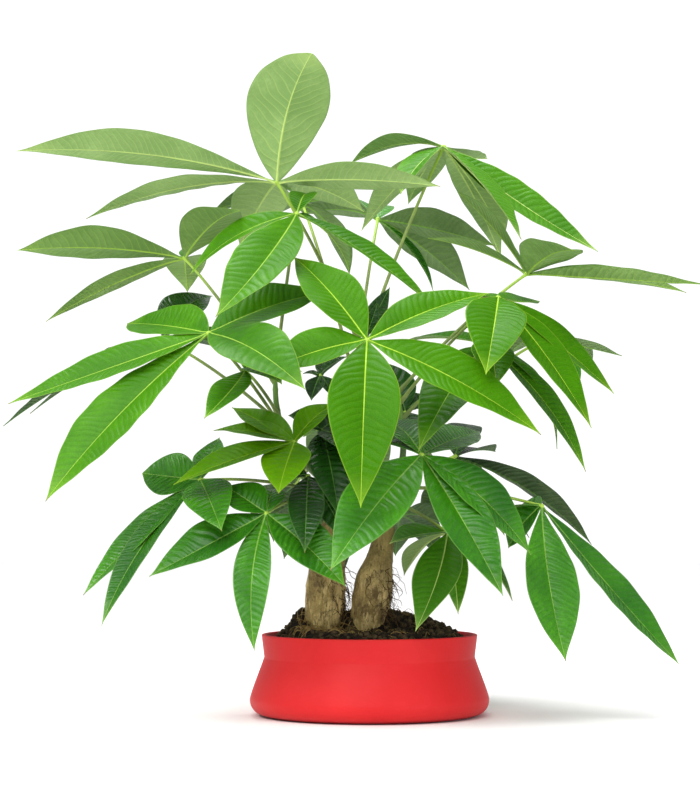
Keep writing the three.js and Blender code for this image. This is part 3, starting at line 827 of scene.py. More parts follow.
def end_geometry(wiring: Wiring, geometry: Output, material: Output) -> NodeTree:
    """End a geometry tree in Realize Instances, Set Shade Smooth and Set Material.

    Args:
        wiring: The tree.
        geometry: What it has made.
        material: The material of that.

    Returns:
        The finished tree.
    """
    for kind in ("GeometryNodeRealizeInstances", "GeometryNodeSetShadeSmooth"):
        geometry = wiring.node(kind, {"Geometry": geometry})
    dressed = wiring.node("GeometryNodeSetMaterial", {"Geometry": geometry, "Material": material})
    return wiring.end(Geometry=dressed)


def grown(item: Object, tree: NodeTree, **inputs: object) -> Object:
    """Run a geometry node tree on an object.

    Args:
        item: The object, which is removed.
        tree: The tree.
        inputs: The values of the tree's inputs, by name.

    Returns:
        The result as a plain object of the same name.
    """
    modifier = item.modifiers.new(tree.name, "NODES")
    modifier.node_group = tree
    for socket in tree.interface.items_tree:
        if socket.in_out == "INPUT" and socket.name in inputs:
            modifier[socket.identifier] = inputs[socket.name]
    graph = bpy.context.evaluated_depsgraph_get()
    mesh = bpy.data.meshes.new_from_object(item.evaluated_get(graph))
    item.modifiers.remove(modifier)
    name, old = item.name, item.data
    bpy.data.objects.remove(item)
    bpy.data.meshes.remove(old)
    return link(name, mesh)


# ---- Finishes ----


@dataclass(frozen=True)
class Finish:
    """A material with one Principled shader, which each kind of finish wires in its own way."""

    name: str

    def wire(self, shader: Wiring) -> dict[str, object]:
        """Give what the Principled shader's inputs get, by name."""
        raise NotImplementedError

    def material(self) -> Material:
        """Build the material.

        Returns:
            The material.
        """
        material = bpy.data.materials.new(self.name)
        material.use_nodes = True
        shader = Wiring(material.node_tree)
        skin = material.node_tree.nodes["Principled BSDF"]
        for name, value in self.wire(shader).items():
            shader.feed(skin.inputs[name], value)
        return material


@dataclass(frozen=True)
class SideLook:
    """What sets one side of a leaf apart: the midrib's width in metres, how much the side veins and
    the margin show, and which way the panels bulge.
    """

    rib_width: float
    veins: float
    margin: float
    bulge: float


class Side(Enum):
    """The two sides of a leaf."""

    # The upper margin's pale line is partly the leaf's own paler edge and partly a painted highlight along
    # the edge.
    UPPER = SideLook(0.0008, 0.04, 0.35, 1.0)
    UNDER = SideLook(0.0013, 0.3, 0.8, -1.0)


@dataclass(frozen=True)
class LeafFinish(Finish):
    """The skin of one side of a leaf: waxy above, dull and paler below, with ribs and veins.

    The grooves beside the side veins carry painted shade, and the paler under side is partly its own colour
    and partly painted glow of light through the leaf.
    """

    side: Side
    light: Colour
    dark: Colour
    rib: Colour
    roughness: float
    relief: float
    # Painted shade: how far the grooves beside the side veins darken.
    vein_groove_shade: float
    wax: float
    scorch: Colour = srgb(124, 104, 58)
    blotch_scale: float = 24.0
    patch_scale: float = 26.0
    grain_scale: float = 480.0

    def wire(self, shader: Wiring) -> dict[str, object]:
        """Wire the leaf's colours from its veins, tones and tips, with painted shade in the grooves beside
        the side veins.

        Args:
            shader: The material's tree.

        Returns:
            What the Principled shader's inputs get.
        """
        look = self.side.value
        span, place = shader.attribute("span"), shader.attribute("place")
        share, edge, tone = shader.split(place)
        turns = shader.attribute("turns", "Fac")
        veins = shader.group(vein_group(), Span=span, Place=place, Turns=turns, Rib=look.rib_width)
        mottle = shader.mottled(shader.position(), self.blotch_scale, self.light, self.dark)
        pale, deep = tone.rise(0.4, 1.0, 0.0, 0.4), tone.rise(0.5, 0.0, 0.0, 0.5)
        patches = shader.noise(span, self.patch_scale, 2.0).rise(0.42, 0.66, 0.0, 0.3)
        grain = shader.noise(span, self.grain_scale, 3.0, 0.7).rise(0.42, 0.6, 0.0, 0.3)
        # Painted shade: darken the leaf in the grooves beside the side veins, as if the quilting shaded
        # them.
        furrows = (1.0 - veins["Panel"]) * self.vein_groove_shade * edge.rise(0.02, 0.2)
        scorched = share.rise(0.965, 1.0) * tone.rise(0.35, 0.6, 0.0, 0.7)
        colour = shader.layered(
            mottle["Color"],
            (pale, self.light),
            (deep, self.dark),
            (patches, self.dark),
            (grain, self.dark),
            (share.rise(0.8, 1.0, 0.0, 0.25), self.rib),
            (furrows, self.dark),
            (veins["Veins"] * look.veins, self.rib),
            ((1.0 - veins["Net"]) * 0.05, self.rib),
            # The pale line on the upper margin is partly the leaf's own paler edge and partly a painted
            # highlight where the edge catches light; the under side's margin is darker.
            (veins["Margin"] * look.margin, self.rib if self.side is Side.UPPER else self.dark),
            (veins["Midrib"] * 0.9, self.rib),
            (scorched, self.scorch),
        )
        height = (veins["Pillow"] * look.bulge + veins["Net"] * 0.05) * share.fall(0.78, 0.96)
        return {
            "Base Color": colour,
            "Roughness": mottle["Mask"] * 0.14 + self.roughness + veins["Midrib"] * 0.1,
            "Normal": shader.bump(height, self.relief),
            "Specular IOR Level": self.wax,
        }


@dataclass(frozen=True)
class StemFinish(Finish):
    """A green stem or stalk with fine streaks, and a brighter tip."""

    light: Colour
    dark: Colour
    tip: Colour
    roughness: float = 0.5
    streak_scale: float = 900.0
    blotch_scale: float = 60.0

    def wire(self, shader: Wiring) -> dict[str, object]:
        """Wire the streaks and the tip.

        Args:
            shader: The material's tree.

        Returns:
            What the Principled shader's inputs get.
        """
        place = shader.position()
        near_tip = shader.attribute("share", "Fac").rise(0.55, 1.0)
        streaks = shader.group(streak_group(), Vector=place, Scale=self.streak_scale)
        mottle = shader.mottled(place, self.blotch_scale, self.light, self.dark)
        faint = streaks["Mask"] * 0.35
        return {
            "Base Color": shader.layered(mottle["Color"], (faint, self.dark), (near_tip, self.tip)),
            "Roughness": streaks["Mask"] * 0.12 + self.roughness,
            "Normal": shader.bump(streaks["Height"], 0.0003),
        }


@dataclass(frozen=True)
class BarkFinish(Finish):
    """Dull tan bark: dark streaks and cracks, pale scuffs low down and a green cast higher up."""

    name: str = "bark"
    tan: Colour = srgb(192, 166, 102)
    brown: Colour = srgb(100, 80, 44)
    pale: Colour = srgb(232, 204, 138)
    moss: Colour = srgb(124, 116, 58)
    crack: Colour = srgb(54, 42, 22)
    blotch_scale: float = 70.0
    streak_scale: float = 620.0
    scuff_scale: float = 60.0
    moss_scale: float = 40.0
    crack_scale: float = 330.0
    gap_scale: float = 150.0
    grain_scale: float = 1400.0
    relief: float = 0.0012

    def cracks(self, shader: Wiring, place: Output) -> Output:
        """Mask short fissures: thin lines along the level curves of a noise, broken up by another.

        Args:
            shader: The material's tree.
            place: The position on the trunk.

        Returns:
            The mask, 1 in a fissure.
        """
        level = shader.noise(shader.scaled(place, (1.0, 1.0, 0.26)), self.crack_scale)
        broken = shader.noise(place, self.gap_scale, 2.0).rise(0.46, 0.62)
        return abs(level - 0.5).fall(0.0, 0.024) * broken

    def wire(self, shader: Wiring) -> dict[str, object]:
        """Wire the streaks, the scuffs, the green cast and the cracks.

        Args:
            shader: The material's tree.

        Returns:
            What the Principled shader's inputs get.
        """
        place = shader.position()
        height_up = shader.split(place)[2]
        streaks = shader.group(streak_group(), Vector=place, Scale=self.streak_scale)
        mottle = shader.mottled(place, self.blotch_scale, self.tan, self.brown)
        drawn = shader.scaled(place, (1.0, 1.0, 0.5))
        scuffs = shader.noise(drawn, self.scuff_scale, 5.0, 0.7).rise(0.45, 0.54)
        moss = height_up.rise(0.1, 0.16) * shader.noise(place, self.moss_scale)
        cracks = self.cracks(shader, place)
        colour = shader.layered(
            mottle["Color"],
            (scuffs * height_up.rise(0.092, 0.124, 1.0, 0.06), self.pale),
            (moss, self.moss),
            (streaks["Mask"] * 0.5, self.brown),
            (cracks * 0.7, self.crack),
        )
        height = shader.noise(place, self.grain_scale) * 0.25 - streaks["Height"] - cracks
        return {"Base Color": colour, "Roughness": 0.85, "Normal": shader.bump(height, self.relief)}


@dataclass(frozen=True)
class EarthFinish(Finish):
    """Potting mix, or a fibre in it: matte, mottled from one colour to another."""

    light: Colour
    dark: Colour
    relief: float
    blotch_scale: float = 170.0
    grain_scale: float = 900.0

    def wire(self, shader: Wiring) -> dict[str, object]:
        """Wire the mottling and the grain.

        Args:
            shader: The material's tree.

        Returns:
            What the Principled shader's inputs get.
        """
        place = shader.position()
        mottle = shader.mottled(place, self.blotch_scale, self.light, self.dark)
        return {
            "Base Color": mottle["Color"],
            "Roughness": mottle["Mask"] * 0.1 + 0.86,
            "Normal": shader.bump(shader.noise(place, self.grain_scale, 4.0, 0.7), self.relief),
            "Specular IOR Level": 0.2,
        }


@dataclass(frozen=True)
class GlazeFinish(Finish):
    """Satin red glaze, a little uneven, with faint turning marks, and painted shade low on the foot, where
    it turns under to the floor.
    """

    name: str = "red_glaze"
    light: Colour = srgb(213, 41, 43)
    dark: Colour = srgb(207, 35, 38)
    # Painted shade: the dark red that the lowest part of the foot turns to.
    foot: Colour = srgb(140, 20, 24)
    blotch_scale: float = 9.0
    turning_scale: float = 700.0
    grain_scale: float = 500.0
    relief: float = 0.0001

    def wire(self, shader: Wiring) -> dict[str, object]:
        """Wire the glaze, the turning marks and the painted shade on the foot.

        Args:
            shader: The material's tree.

        Returns:
            What the Principled shader's inputs get.
        """
        place = shader.position()
        # Painted shade: darken the lowest 4 mm of the foot, where it turns under.
        foot = shader.split(place)[2].rise(0.0, 0.004, 0.8, 0.0)
        mottle = shader.mottled(place, self.blotch_scale, self.light, self.dark)
        turning = shader.noise(shader.scaled(place, (0.02, 0.02, 1.0)), self.turning_scale, 2.0)
        grain = shader.noise(place, self.grain_scale)
        return {
            "Base Color": shader.mix(foot, mottle["Color"], self.foot),
            "Roughness": grain * 0.12 + 0.42,
            "Normal": shader.bump(turning * 0.7 + grain * 0.3, self.relief),
            "Specular IOR Level": 0.16,
        }


@dataclass(frozen=True)
class FloorFinish(Finish):
    """The plain pale floor."""

    name: str = "floor"

    def wire(self, shader: Wiring) -> dict[str, object]:
        """Wire two shades of near white."""
        tone = shader.mix(shader.noise(shader.position(), 2.0), srgb(250, 250, 250), srgb(246, 246, 246))
        return {"Base Color": tone, "Roughness": 0.9}


# ---- Swept lines ----


@dataclass
class Line:
    """A line to sweep: its points, its radius at each, and how far up its stem it starts, from 0 to 1."""

    points: Array
    radii: Array
    start: float = 0.0


def tubes(name: str, lines: list[Line], material: Material, sides: int) -> Object:
    """Sweep round tubes along lines.

    Args:
        name: The name of the object.
        lines: The lines.
        material: The material of the tubes.
        sides: How many sides each tube has.

    Returns:
        The tubes as one object.
    """
    mesh = bpy.data.meshes.new(name)
    ends = np.cumsum([0, *(len(line.points) for line in lines)]).tolist()
    edges = [(i, i + 1) for first, end in zip(ends, ends[1:]) for i in range(first, end - 1)]
    mesh.from_pydata((np.concatenate([line.points for line in lines]) * MM).tolist(), edges, [])
    set_attributes(mesh, {
        "girth": [line.radii * MM for line in lines],
        "share": [np.linspace(line.start, 1, len(line.points)) for line in lines],
    })
    return grown(link(name, mesh), sweep_tree(), Sides=sides, Material=material)


# ---- Sub-assemblies ----


@dataclass
class Pot:
    """The low round pot: a bulging belly, a crease at the neck and an outward-leaning rim.

    The inner slope is how far in from the belly the inside bends, and how high.
    """

    height: float = 65.0
    rim: float = 86.2
    neck: float = 84.2
    neck_height: float = 47.0
    belly: float = 95.7
    belly_height: float = 13.5
    foot: float = 78.0
    side_pull: float = 8.0
    belly_lean: float = 1.6
    neck_lean: float = 2.4
    wall: float = 3.5
    inner_slope: Range = (4.5, 30.0)
    floor: float = 4.0
    middle: float = 0.02
    around: int = 160

    def profile(self) -> Array:
        """Draw the section of the wall.

        Returns:
            Its points, from the middle of the foot round to the middle of the floor.
        """
        corners = ((self.foot, 0.0), (self.belly, 0.0), (self.belly, self.belly_height))
        shoulder = bezier(*(np.array(corner) for corner in corners), np.linspace(0, 1, 12))
        t = np.linspace(0, 1, 20)[1:, None]
        ends = [
            (self.belly, self.belly_height),
            (self.belly - self.belly_lean, self.belly_height + self.side_pull),
            (self.neck + self.neck_lean, self.neck_height - self.side_pull),
            (self.neck, self.neck_height),
        ]
        a, b, c, d = (np.array(p) for p in ends)
        side = (1 - t) ** 3 * a + 3 * t * (1 - t) ** 2 * b + 3 * t**2 * (1 - t) * c + t**3 * d
        lip = self.wall / 2
        angle = np.linspace(0, math.pi, 9)[:, None]
        centre = np.array((self.rim - lip, self.height - lip * 0.5))
        rim = centre + np.hstack([np.cos(angle) * lip, np.sin(angle) * lip * 0.5])
        inside = [
            (self.neck - self.wall, self.neck_height),
            (self.belly - self.wall - self.inner_slope[0], self.inner_slope[1]),
            (self.belly - self.wall, self.belly_height + 2),
            (self.foot, self.floor),
            (self.middle, self.floor),
        ]
        below = [(self.middle, 0.0), (self.foot - 2, 0.0)]
        return np.concatenate([below, shoulder, side, rim, inside])

    def build(self, glaze: Material) -> None:
        """Turn the section into the pot."""
        rings = [circle(radius, height, self.around) for radius, height in self.profile()]
        register(closed_body("pot_glazed", rings, glaze), "pot", "pot")


@dataclass
class Soil:
    """The mound of potting mix, with loose crumbs and straw-like fibres on it.

    The bank is its place and its height. A layer of clods is its height, its size and the slice of
    the noise that it takes. The fibre limits are how far from the axis one may start, and may reach.
    """

    rim_height: float = 65.0
    crown: float = 18.0
    foot: float = 69.0
    fall: float = 2.3
    front: float = 15.0
    bank: Triple = (-55.0, -6.0, 14.0)
    bank_radius: float = 10.0
    ripple: float = 1.1
    clods: tuple[Triple, ...] = ((1.3, 4.5, 2.0), (1.0, 2.0, 7.0))
    sides: tuple[Range, ...] = ((76.0, 4.4), (90.2, 15.5), (85.7, 30.0), (78.7, 47.0))
    edge: float = 79.6
    spokes: int = 144
    rings: int = 60
    strewn_edge: float = 77.0
    strewn_spokes: int = 48
    strewn_rings: int = 16
    fibre_limits: Range = (74.0, 78.0)
    fibre_length: Range = (6.0, 17.0)
    fibre_lift: Range = (0.5, 4.5)
    fibre_curl: float = 1.6
    fibre_girth: Range = (0.14, 0.32)
    fibre_points: int = 9

    def height(self, x: Array, y: Array) -> Array:
        """Give the mound's height at some places.

        Args:
            x: How far right they are.
            y: How far back they are.

        Returns:
            The heights in millimetres.
        """
        away = np.hypot(x, y) / self.foot
        from_bank = np.hypot(x - self.bank[0], y - self.bank[1]) / self.bank_radius
        heap = self.bank[2] * np.exp(-(from_bank**2))
        hollow = self.front * smoothstep(-y, 2, 30) * smoothstep(1 - away, 0, 0.5)
        fine = np.sin(x / 5.1 + 1) * np.cos(y / 4.3)
        coarse = 0.7 * np.sin((x + y) / 7.7) + 0.6 * np.cos((x - y) / 3.9)
        mound = self.rim_height + self.crown * (1 - away**self.fall)
        return mound + heap - hollow + self.ripple * (fine + coarse)

    def ring(self, radius: float, around: int) -> Array:
        """Give points round the mound's smooth surface.

        Args:
            radius: How far they are from the pot's axis.
            around: How many there are.

        Returns:
            The points.
        """
        spots = circle(radius, 0.0, around)
        spots[:, 2] = self.height(spots[:, 0], spots[:, 1])
        return spots

    def mound(self, material: Material) -> Object:
        """Make the mound, rough with clods, as one closed body.

        Args:
            material: The potting mix.

        Returns:
            The mound.
        """
        skin = [circle(radius, height, self.spokes) for radius, height in self.sides]
        for radius in self.edge * np.linspace(1, 0.012, self.rings):
            spots = self.ring(radius, self.spokes)
            spots[:, 2] += [
                sum(high * noise.noise((x / wide, y / wide, part)) for high, wide, part in self.clods)
                for x, y in spots[:, :2]
            ]
            skin.append(spots)
        return closed_body("soil_mound", skin, material)

    def surface(self, name: str) -> Object:
        """Make a smooth copy of the mound's surface to strew things on.

        Args:
            name: The object's name.

        Returns:
            The surface.
        """
        radii = np.linspace(self.strewn_edge, self.strewn_edge * 0.02, self.strewn_rings)
        points = np.concatenate([self.ring(radius, self.strewn_spokes) for radius in radii])
        mesh = bpy.data.meshes.new(name)
        mesh.from_pydata((points * MM).tolist(), [], quads(self.strewn_rings, self.strewn_spokes))
        return link(name, mesh)

    def fibre(self, draw: random.Random, patch: Triple) -> Line | None:
        """Lay one short curled fibre on a patch of the mound.

        Args:
            draw: The random draw.
            patch: The middle of the patch, and its radius.

        Returns:
            The fibre's line, or None if it would lie over the rim.
        """
        turn, reach = draw.uniform(0, math.tau), patch[2] * math.sqrt(draw.random())
        x, y = patch[0] + reach * math.cos(turn), patch[1] + reach * math.sin(turn)
        start_limit, limit = self.fibre_limits
        if math.hypot(x, y) > start_limit:
            return None
        heading, length = draw.uniform(0, math.tau), draw.uniform(*self.fibre_length)
        lift, curl = draw.uniform(*self.fibre_lift), draw.uniform(-self.fibre_curl, self.fibre_curl)
        t = np.linspace(0, 1, self.fibre_points)
        bend = heading + curl * t
        px = x + np.cumsum(np.cos(bend)) * length / self.fibre_points
        py = y + np.cumsum(np.sin(bend)) * length / self.fibre_points
        pz = self.height(px, py) + 0.4 + lift * np.sin(math.pi * t)
        points = np.stack([px, py, pz], axis=1)[np.hypot(px, py) < limit]
        if len(points) < 5:
            return None
        return Line(points, np.full(len(points), draw.uniform(*self.fibre_girth)))

    def build(self, mix: Material, crumb: Material, straw: Material) -> None:
        """Make the mound and what lies on it.

        Args:
            mix: The material of the mound.
            crumb: The material of the crumbs.
            straw: The material of the fibres.
        """
        register(self.mound(mix), "soil", "soil")
        for name, density, small, large, seed, material in (
            ("soil_crumbs", 210000.0, 0.0004, 0.0016, 3, mix),
            ("soil_lumps", 42000.0, 0.0012, 0.0033, 5, crumb),
        ):
            sizes = {"Density": density, "Smallest": small, "Largest": large}
            strewn = grown(self.surface(name), scatter_tree(), Seed=seed, Material=material, **sizes)
            register(strewn, "soil")
        for name, count, patch, seed in (
            ("straw_at_left_trunk", 260, (-36, -26, 19), 11),
            ("straw_on_soil", 70, (8, -14, 62), 12),
        ):
            draw = random.Random(seed)
            fibres = [self.fibre(draw, patch) for _ in range(count)]
            lines = [line for line in fibres if line is not None]
            register(tubes(name, lines, straw, 5), "soil")


@dataclass
class Trunk:
    """One bare trunk, with furrowed bark, swellings, old leaf scars, a sawn top and root hairs.

    The hair heights are the lowest, the highest and the most common.
    """

    plan: TrunkPlan
    around: int = 72
    rings: int = 120
    lowest_scar: float = 100.0
    between_scars: float = 23.0
    scar_rise: float = 0.35
    scar_width: float = 1.3
    sawn_round: float = 0.45
    hair_heights: Triple = (78.0, 128.0, 88.0)
    hair_side: float = -0.1
    hair_girth: Range = (0.16, 0.42)
    hair_steps: tuple[int, int] = (7, 19)
    hair_step: float = 1.5
    hair_sag: float = -0.42

    def radius(self, height: Array) -> Array:
        """Give the trunk's radius at some heights, smoothly.

        Args:
            height: The heights in millimetres.

        Returns:
            The radii in millimetres.
        """
        heights = np.array([p[2] for p in self.plan.points], float)
        radii = np.array(self.plan.radii, float)
        slopes = np.gradient(radii, heights)
        i = np.clip(np.searchsorted(heights, height) - 1, 0, len(heights) - 2)
        span = heights[i + 1] - heights[i]
        w = (height - heights[i]) / span
        rise = radii[i] * (1 + 2 * w) * (1 - w) ** 2 + radii[i + 1] * w**2 * (3 - 2 * w)
        return rise + span * (slopes[i] * w * (1 - w) ** 2 - slopes[i + 1] * w**2 * (1 - w))

    def furrows(self, angle: Array, height: float) -> Array:
        """Give how far the bark stands out round a ring, from noise at three scales.

        A layer is its depth, how fine it is round the trunk, and the height of a furrow.

        Args:
            angle: The angles round the ring.
            height: The ring's height.

        Returns:
            The relief in millimetres.
        """
        seed = 10.0 * len(self.plan.name)
        layers = ((0.5, 5, 22), (0.38, 13, 26), (0.7, 1.4, 9))
        return np.array([
            sum(
                deep * noise.noise((math.cos(a) * fine, math.sin(a) * fine + seed, height / tall))
                for deep, fine, tall in layers
            )
            for a in angle
        ])

    def build(self, bark: Material) -> None:
        """Make the trunk.

        Args:
            bark: The trunk's material.
        """
        line = catmull(self.plan.points, self.rings)
        angle = np.linspace(0, math.tau, self.around, endpoint=False)
        skin = []
        for row, (centre, across, back) in enumerate(zip(line, *frames_along(line))):
            z = centre[2]
            swell = 0.035 * np.sin(3 * angle + z / 19) + 0.025 * np.sin(5 * angle - z / 13)
            off_scar = (z % self.between_scars) - self.between_scars // 2
            scar = self.scar_rise * math.exp(-((off_scar / self.scar_width) ** 2)) * (z > self.lowest_scar)
            fade = 1 - self.sawn_round * smoothstep(row, self.rings - 3, self.rings)
            radius = (self.radius(np.array([z]))[0] * (1 + swell) + self.furrows(angle, z) + scar) * fade
            rise, run = np.outer(radius * np.sin(angle), back), np.outer(radius * np.cos(angle), across)
            skin.append(centre + run + rise)
        register(closed_body(f"{self.plan.name}_bark", skin, bark), "bark", self.plan.name)

    def outside(self, line: Array, spot: Array, turn: float | None, gap: float) -> Array:
        """Move a spot out to the bark.

        Args:
            line: Points up the middle of the trunk.
            spot: The spot.
            turn: The angle round the trunk to put it at, or None to keep its own.
            gap: How far off the bark it is at least.

        Returns:
            The spot on or off the bark.
        """
        centre = line[np.argmin(np.abs(line[:, 2] - spot[2]))]
        reach = float(self.radius(np.array([centre[2]]))[0]) + gap
        away = spot[:2] - centre[:2]
        distance = float(np.hypot(*away))
        if turn is not None:
            away = (reach - 0.8) * np.array((math.cos(turn), math.sin(turn)))
        elif distance < reach:
            away = away * reach / max(distance, 1e-6)
        return np.array((centre[0] + away[0], centre[1] + away[1], spot[2]))

    def hair(self, line: Array, soil: Soil, draw: random.Random) -> Line | None:
        """Grow one wiry root hair out of the bark, which hangs to the soil.

        Args:
            line: Points up the middle of the trunk.
            soil: The soil that it reaches.
            draw: The random draw.

        Returns:
            The hair's line, or None if it is too short.
        """
        spot = np.array((0.0, 0.0, draw.triangular(*self.hair_heights)))
        turn = draw.gauss(self.hair_side, 0.6)
        spot = self.outside(line, spot, turn, 0.0)
        heading = np.array((math.cos(turn), math.sin(turn), -0.4))
        drift = np.array([draw.gauss(0, 1) for _ in range(3)])
        girth = draw.uniform(*self.hair_girth)
        path = []
        for _ in range(draw.randint(*self.hair_steps)):
            path.append(spot)
            drift = 0.65 * drift + np.array([draw.gauss(0, 0.55) for _ in range(3)])
            heading = unit(heading * 0.75 + drift * 0.45 + np.array((0, 0, self.hair_sag)))
            spot = self.outside(line, spot + heading * self.hair_step, None, 0.25)
            if spot[2] < float(soil.height(spot[0], spot[1])) - 0.8:
                break
        return Line(np.array(path), girth * np.linspace(1, 0.45, len(path))) if len(path) > 4 else None

    def hairs(self, soil: Soil, material: Material, count: int, seed: int) -> None:
        """Grow the root hairs, most of them on the right.

        Args:
            soil: The soil that they reach.
            material: The hairs' material.
            count: How many there are at most.
            seed: The seed of the random draw.
        """
        draw = random.Random(seed)
        line = catmull(self.plan.points, 80)
        hairs = [self.hair(line, soil, draw) for _ in range(count)]
        lines = [hair for hair in hairs if hair is not None]
        register(tubes(f"{self.plan.name}_root_hairs", lines, material, 5), "bark")


@dataclass
class Shoot:
    """One green shoot, with rings where old leaves fell and a rounded tip."""

    plan: ShootPlan
    base: float = 3.6
    tip: float = 2.4
    between_rings: float = 17.0
    ring_rise: float = 0.28
    sunk: float = 0.4
    steps: int = 60

    def line(self) -> Array:
        """Points up the middle of the shoot."""
        return catmull(self.plan.points, self.steps)

    def build(self, material: Material) -> None:
        """Sweep the shoot.

        Args:
            material: The stem.
        """
        line = self.line()
        share = np.linspace(0, 1, len(line))
        length = np.linalg.norm(np.diff(line, axis=0), axis=1).sum()
        scars = self.ring_rise * np.maximum(np.cos(share * length / self.between_rings * math.tau), 0) ** 8
        radii = self.base + (self.tip - self.base) * share + scars - self.sunk
        radii *= np.sqrt(np.clip(1.02 - share**24, 0.02, 1))
        item = tubes(f"shoot_{self.plan.name}_stem", [Line(line, radii)], material, 20)
        register(item, "shoot", f"shoot_{self.plan.name}")


@dataclass
class Blade:
    """One leaflet being shaped, with what varies by chance drawn when it is made.

    Columns are the places of the points across half the blade, as shares of its half width, and the
    rib columns are the most, in millimetres, that the first of them lie from the midrib. Ribs and
    waves have their full size on a leaflet as wide as the full size.
    """

    plan: Leaflet
    hub: Array
    faces: Array
    full_grown: bool
    draw: random.Random
    thickness: float = 0.36
    fold: float = math.radians(14)
    row_gap: float = 1.5
    full_size: float = 40.0
    joint_swell: float = 1.05
    joint_reach: float = 5.5
    wave_lengths: Range = (22.0, 34.0)
    wave_heights: Range = (0.1, 0.42)
    quilt_young: float = 0.1
    quilt_grown: float = 0.38
    vein_gap: float = 3.6
    vein_gap_by_width: float = 0.055
    vein_slant: float = 0.42
    vein_curve: float = 0.009
    wander_lengths: Range = (7.1, 3.9)
    patch_lengths: Range = (17.0, 9.0)
    least_foot: float = 1.15
    least_tip: float = 0.12
    groove_depth: float = 0.22
    groove_width: float = 1.5
    columns: tuple[float, ...] = (0.0, 0.06, 0.13, 0.22, 0.34, 0.47, 0.6, 0.73, 0.85, 0.94, 1.0)
    rib_columns: tuple[float, ...] = (0.0, 0.45, 0.95, 1.7)

    def __post_init__(self) -> None:
        """Lay the midrib out, and draw the twist, the outline, the waves and the veins in that order."""
        draw = self.draw
        self.reach = np.array((self.plan.right, self.plan.back, self.plan.up), float)
        self.length = float(np.linalg.norm(self.reach))
        self.rows = int(np.clip(self.length / self.row_gap, 14, 130))
        t = np.linspace(0, 1, self.rows)
        self.t = t - 0.12 * np.sin(math.pi * t) * np.sin(math.pi * t) * (t - 0.5)
        self.distance = self.t * self.length
        self.centre, self.side, self.normal = self.spine(math.radians(draw.uniform(-9, 9)))
        self.half = self.outline(draw.uniform(9, 15), draw.uniform(0, 6))
        size = max(self.plan.width, 12) / self.full_size
        self.rib = (0.95 - 0.6 * self.t) * min(1.0, 0.55 + 0.45 * size)
        self.tone = draw.random()
        self.waves = [(draw.uniform(*self.wave_lengths), draw.uniform(0, math.tau)) for _ in range(2)]
        self.wave_height = draw.uniform(*self.wave_heights) * size
        self.quilting = (self.quilt_grown if self.full_grown else self.quilt_young) * min(size, 1.2)
        self.spacing = (self.vein_gap + self.vein_gap_by_width * self.plan.width) * draw.uniform(0.85, 1.2)
        self.drift = [draw.uniform(0, math.tau) for _ in range(4)]

    def spine(self, twist: float) -> tuple[Array, ...]:
        """Bend the midrib and turn the blade on it.

        Args:
            twist: How much further the tip is turned.

        Returns:
            The midrib, the way to its right and the way out of its upper side, at each share.
        """
        t = self.t[:, None]
        along = self.reach / self.length
        across = unit(np.cross(along, self.faces))
        out = np.cross(across, along)
        bend = (out * 2 * self.plan.arch + across * 2 * self.plan.sway) * self.length
        middle, tip = self.hub + self.reach / 2 + bend, self.hub + self.reach
        tangent = unit(2 * (1 - t) * (middle - self.hub) + 2 * t * (tip - middle))
        side = unit(np.cross(tangent, self.faces))
        normal = np.cross(side, tangent)
        turn = math.radians(self.plan.turn) + twist * t**2
        side, normal = (way * np.cos(turn) + np.cross(tangent, way) * np.sin(turn) for way in (side, normal))
        return bezier(self.hub, middle, tip, self.t), side, normal

    def outline(self, waver: float, phase: float) -> Array:
        """Shape half the leaflet's width: pointed, and drawn out at the tip.

        Args:
            waver: How fast the margin wavers.
            phase: Where it starts.

        Returns:
            Half the width at each share, in millimetres.
        """
        t = self.t
        swell = np.sin(math.pi * t ** (math.log(0.5) / math.log(self.plan.widest))) ** self.plan.full
        drawn_out = 1 - 0.22 * np.exp(-(((1 - t) / 0.07) ** 2))
        uneven = 1 + 0.012 * np.sin(t * waver + phase)
        least = np.where(t < 0.5, self.least_foot, self.least_tip)
        return np.maximum(self.plan.width * 0.52 * swell * drawn_out * uneven, least)

    def turns(self, sign: int, offset: Array) -> Array:
        """Count the side veins up to a column of points.

        Args:
            sign: 1 right of the midrib, and -1 left of it.
            offset: How far the column is from the midrib.

        Returns:
            The count at each share, with a part for the place between two veins.
        """
        slant = self.vein_slant * offset
        even = (self.distance - slant - self.vein_curve * offset**2) / self.spacing + 0.17 * sign + self.tone
        slow, fast = (self.distance / length for length in self.wander_lengths)
        wander = 0.2 * np.sin(slow + self.drift[0] + sign)
        return even + (wander + 0.13 * np.sin(fast + offset / 8 + self.drift[1]))

    def lift(self, sign: int, offset: Array, nearness: Array, turns: Array) -> Array:
        """Raise a column of points by the fold, the waves of the margin and the quilting.

        Args:
            sign: 1 right of the midrib, and -1 left of it.
            offset: How far the column is from the midrib.
            nearness: How near it is to the margin, from 0 to 1.
            turns: The count of side veins.

        Returns:
            The lift at each share, in millimetres.
        """
        fold = offset * math.sin(self.fold) + 0.16 * self.half * (nearness - nearness**2)
        middle = np.sin(math.pi * self.t)
        wave_length, phase = self.waves[0 if sign < 0 else 1]
        wave = self.wave_height * nearness**2 * np.sin(self.distance / wave_length * math.tau + phase)
        slow, fast = (self.distance / length for length in self.patch_lengths)
        patchy = 0.6 + 0.4 * (np.sin(slow + self.drift[2] + 1.5 * sign) * np.sin(fast + self.drift[3]))
        off_vein = np.abs(turns - np.floor(turns) - 0.5)
        bulge = np.cos((1 - 2 * off_vein) * math.pi) * 0.5 * nearness**0.5 * (1 - nearness**3)
        return fold + wave * middle**0.5 + self.quilting * patchy * bulge * middle**0.4

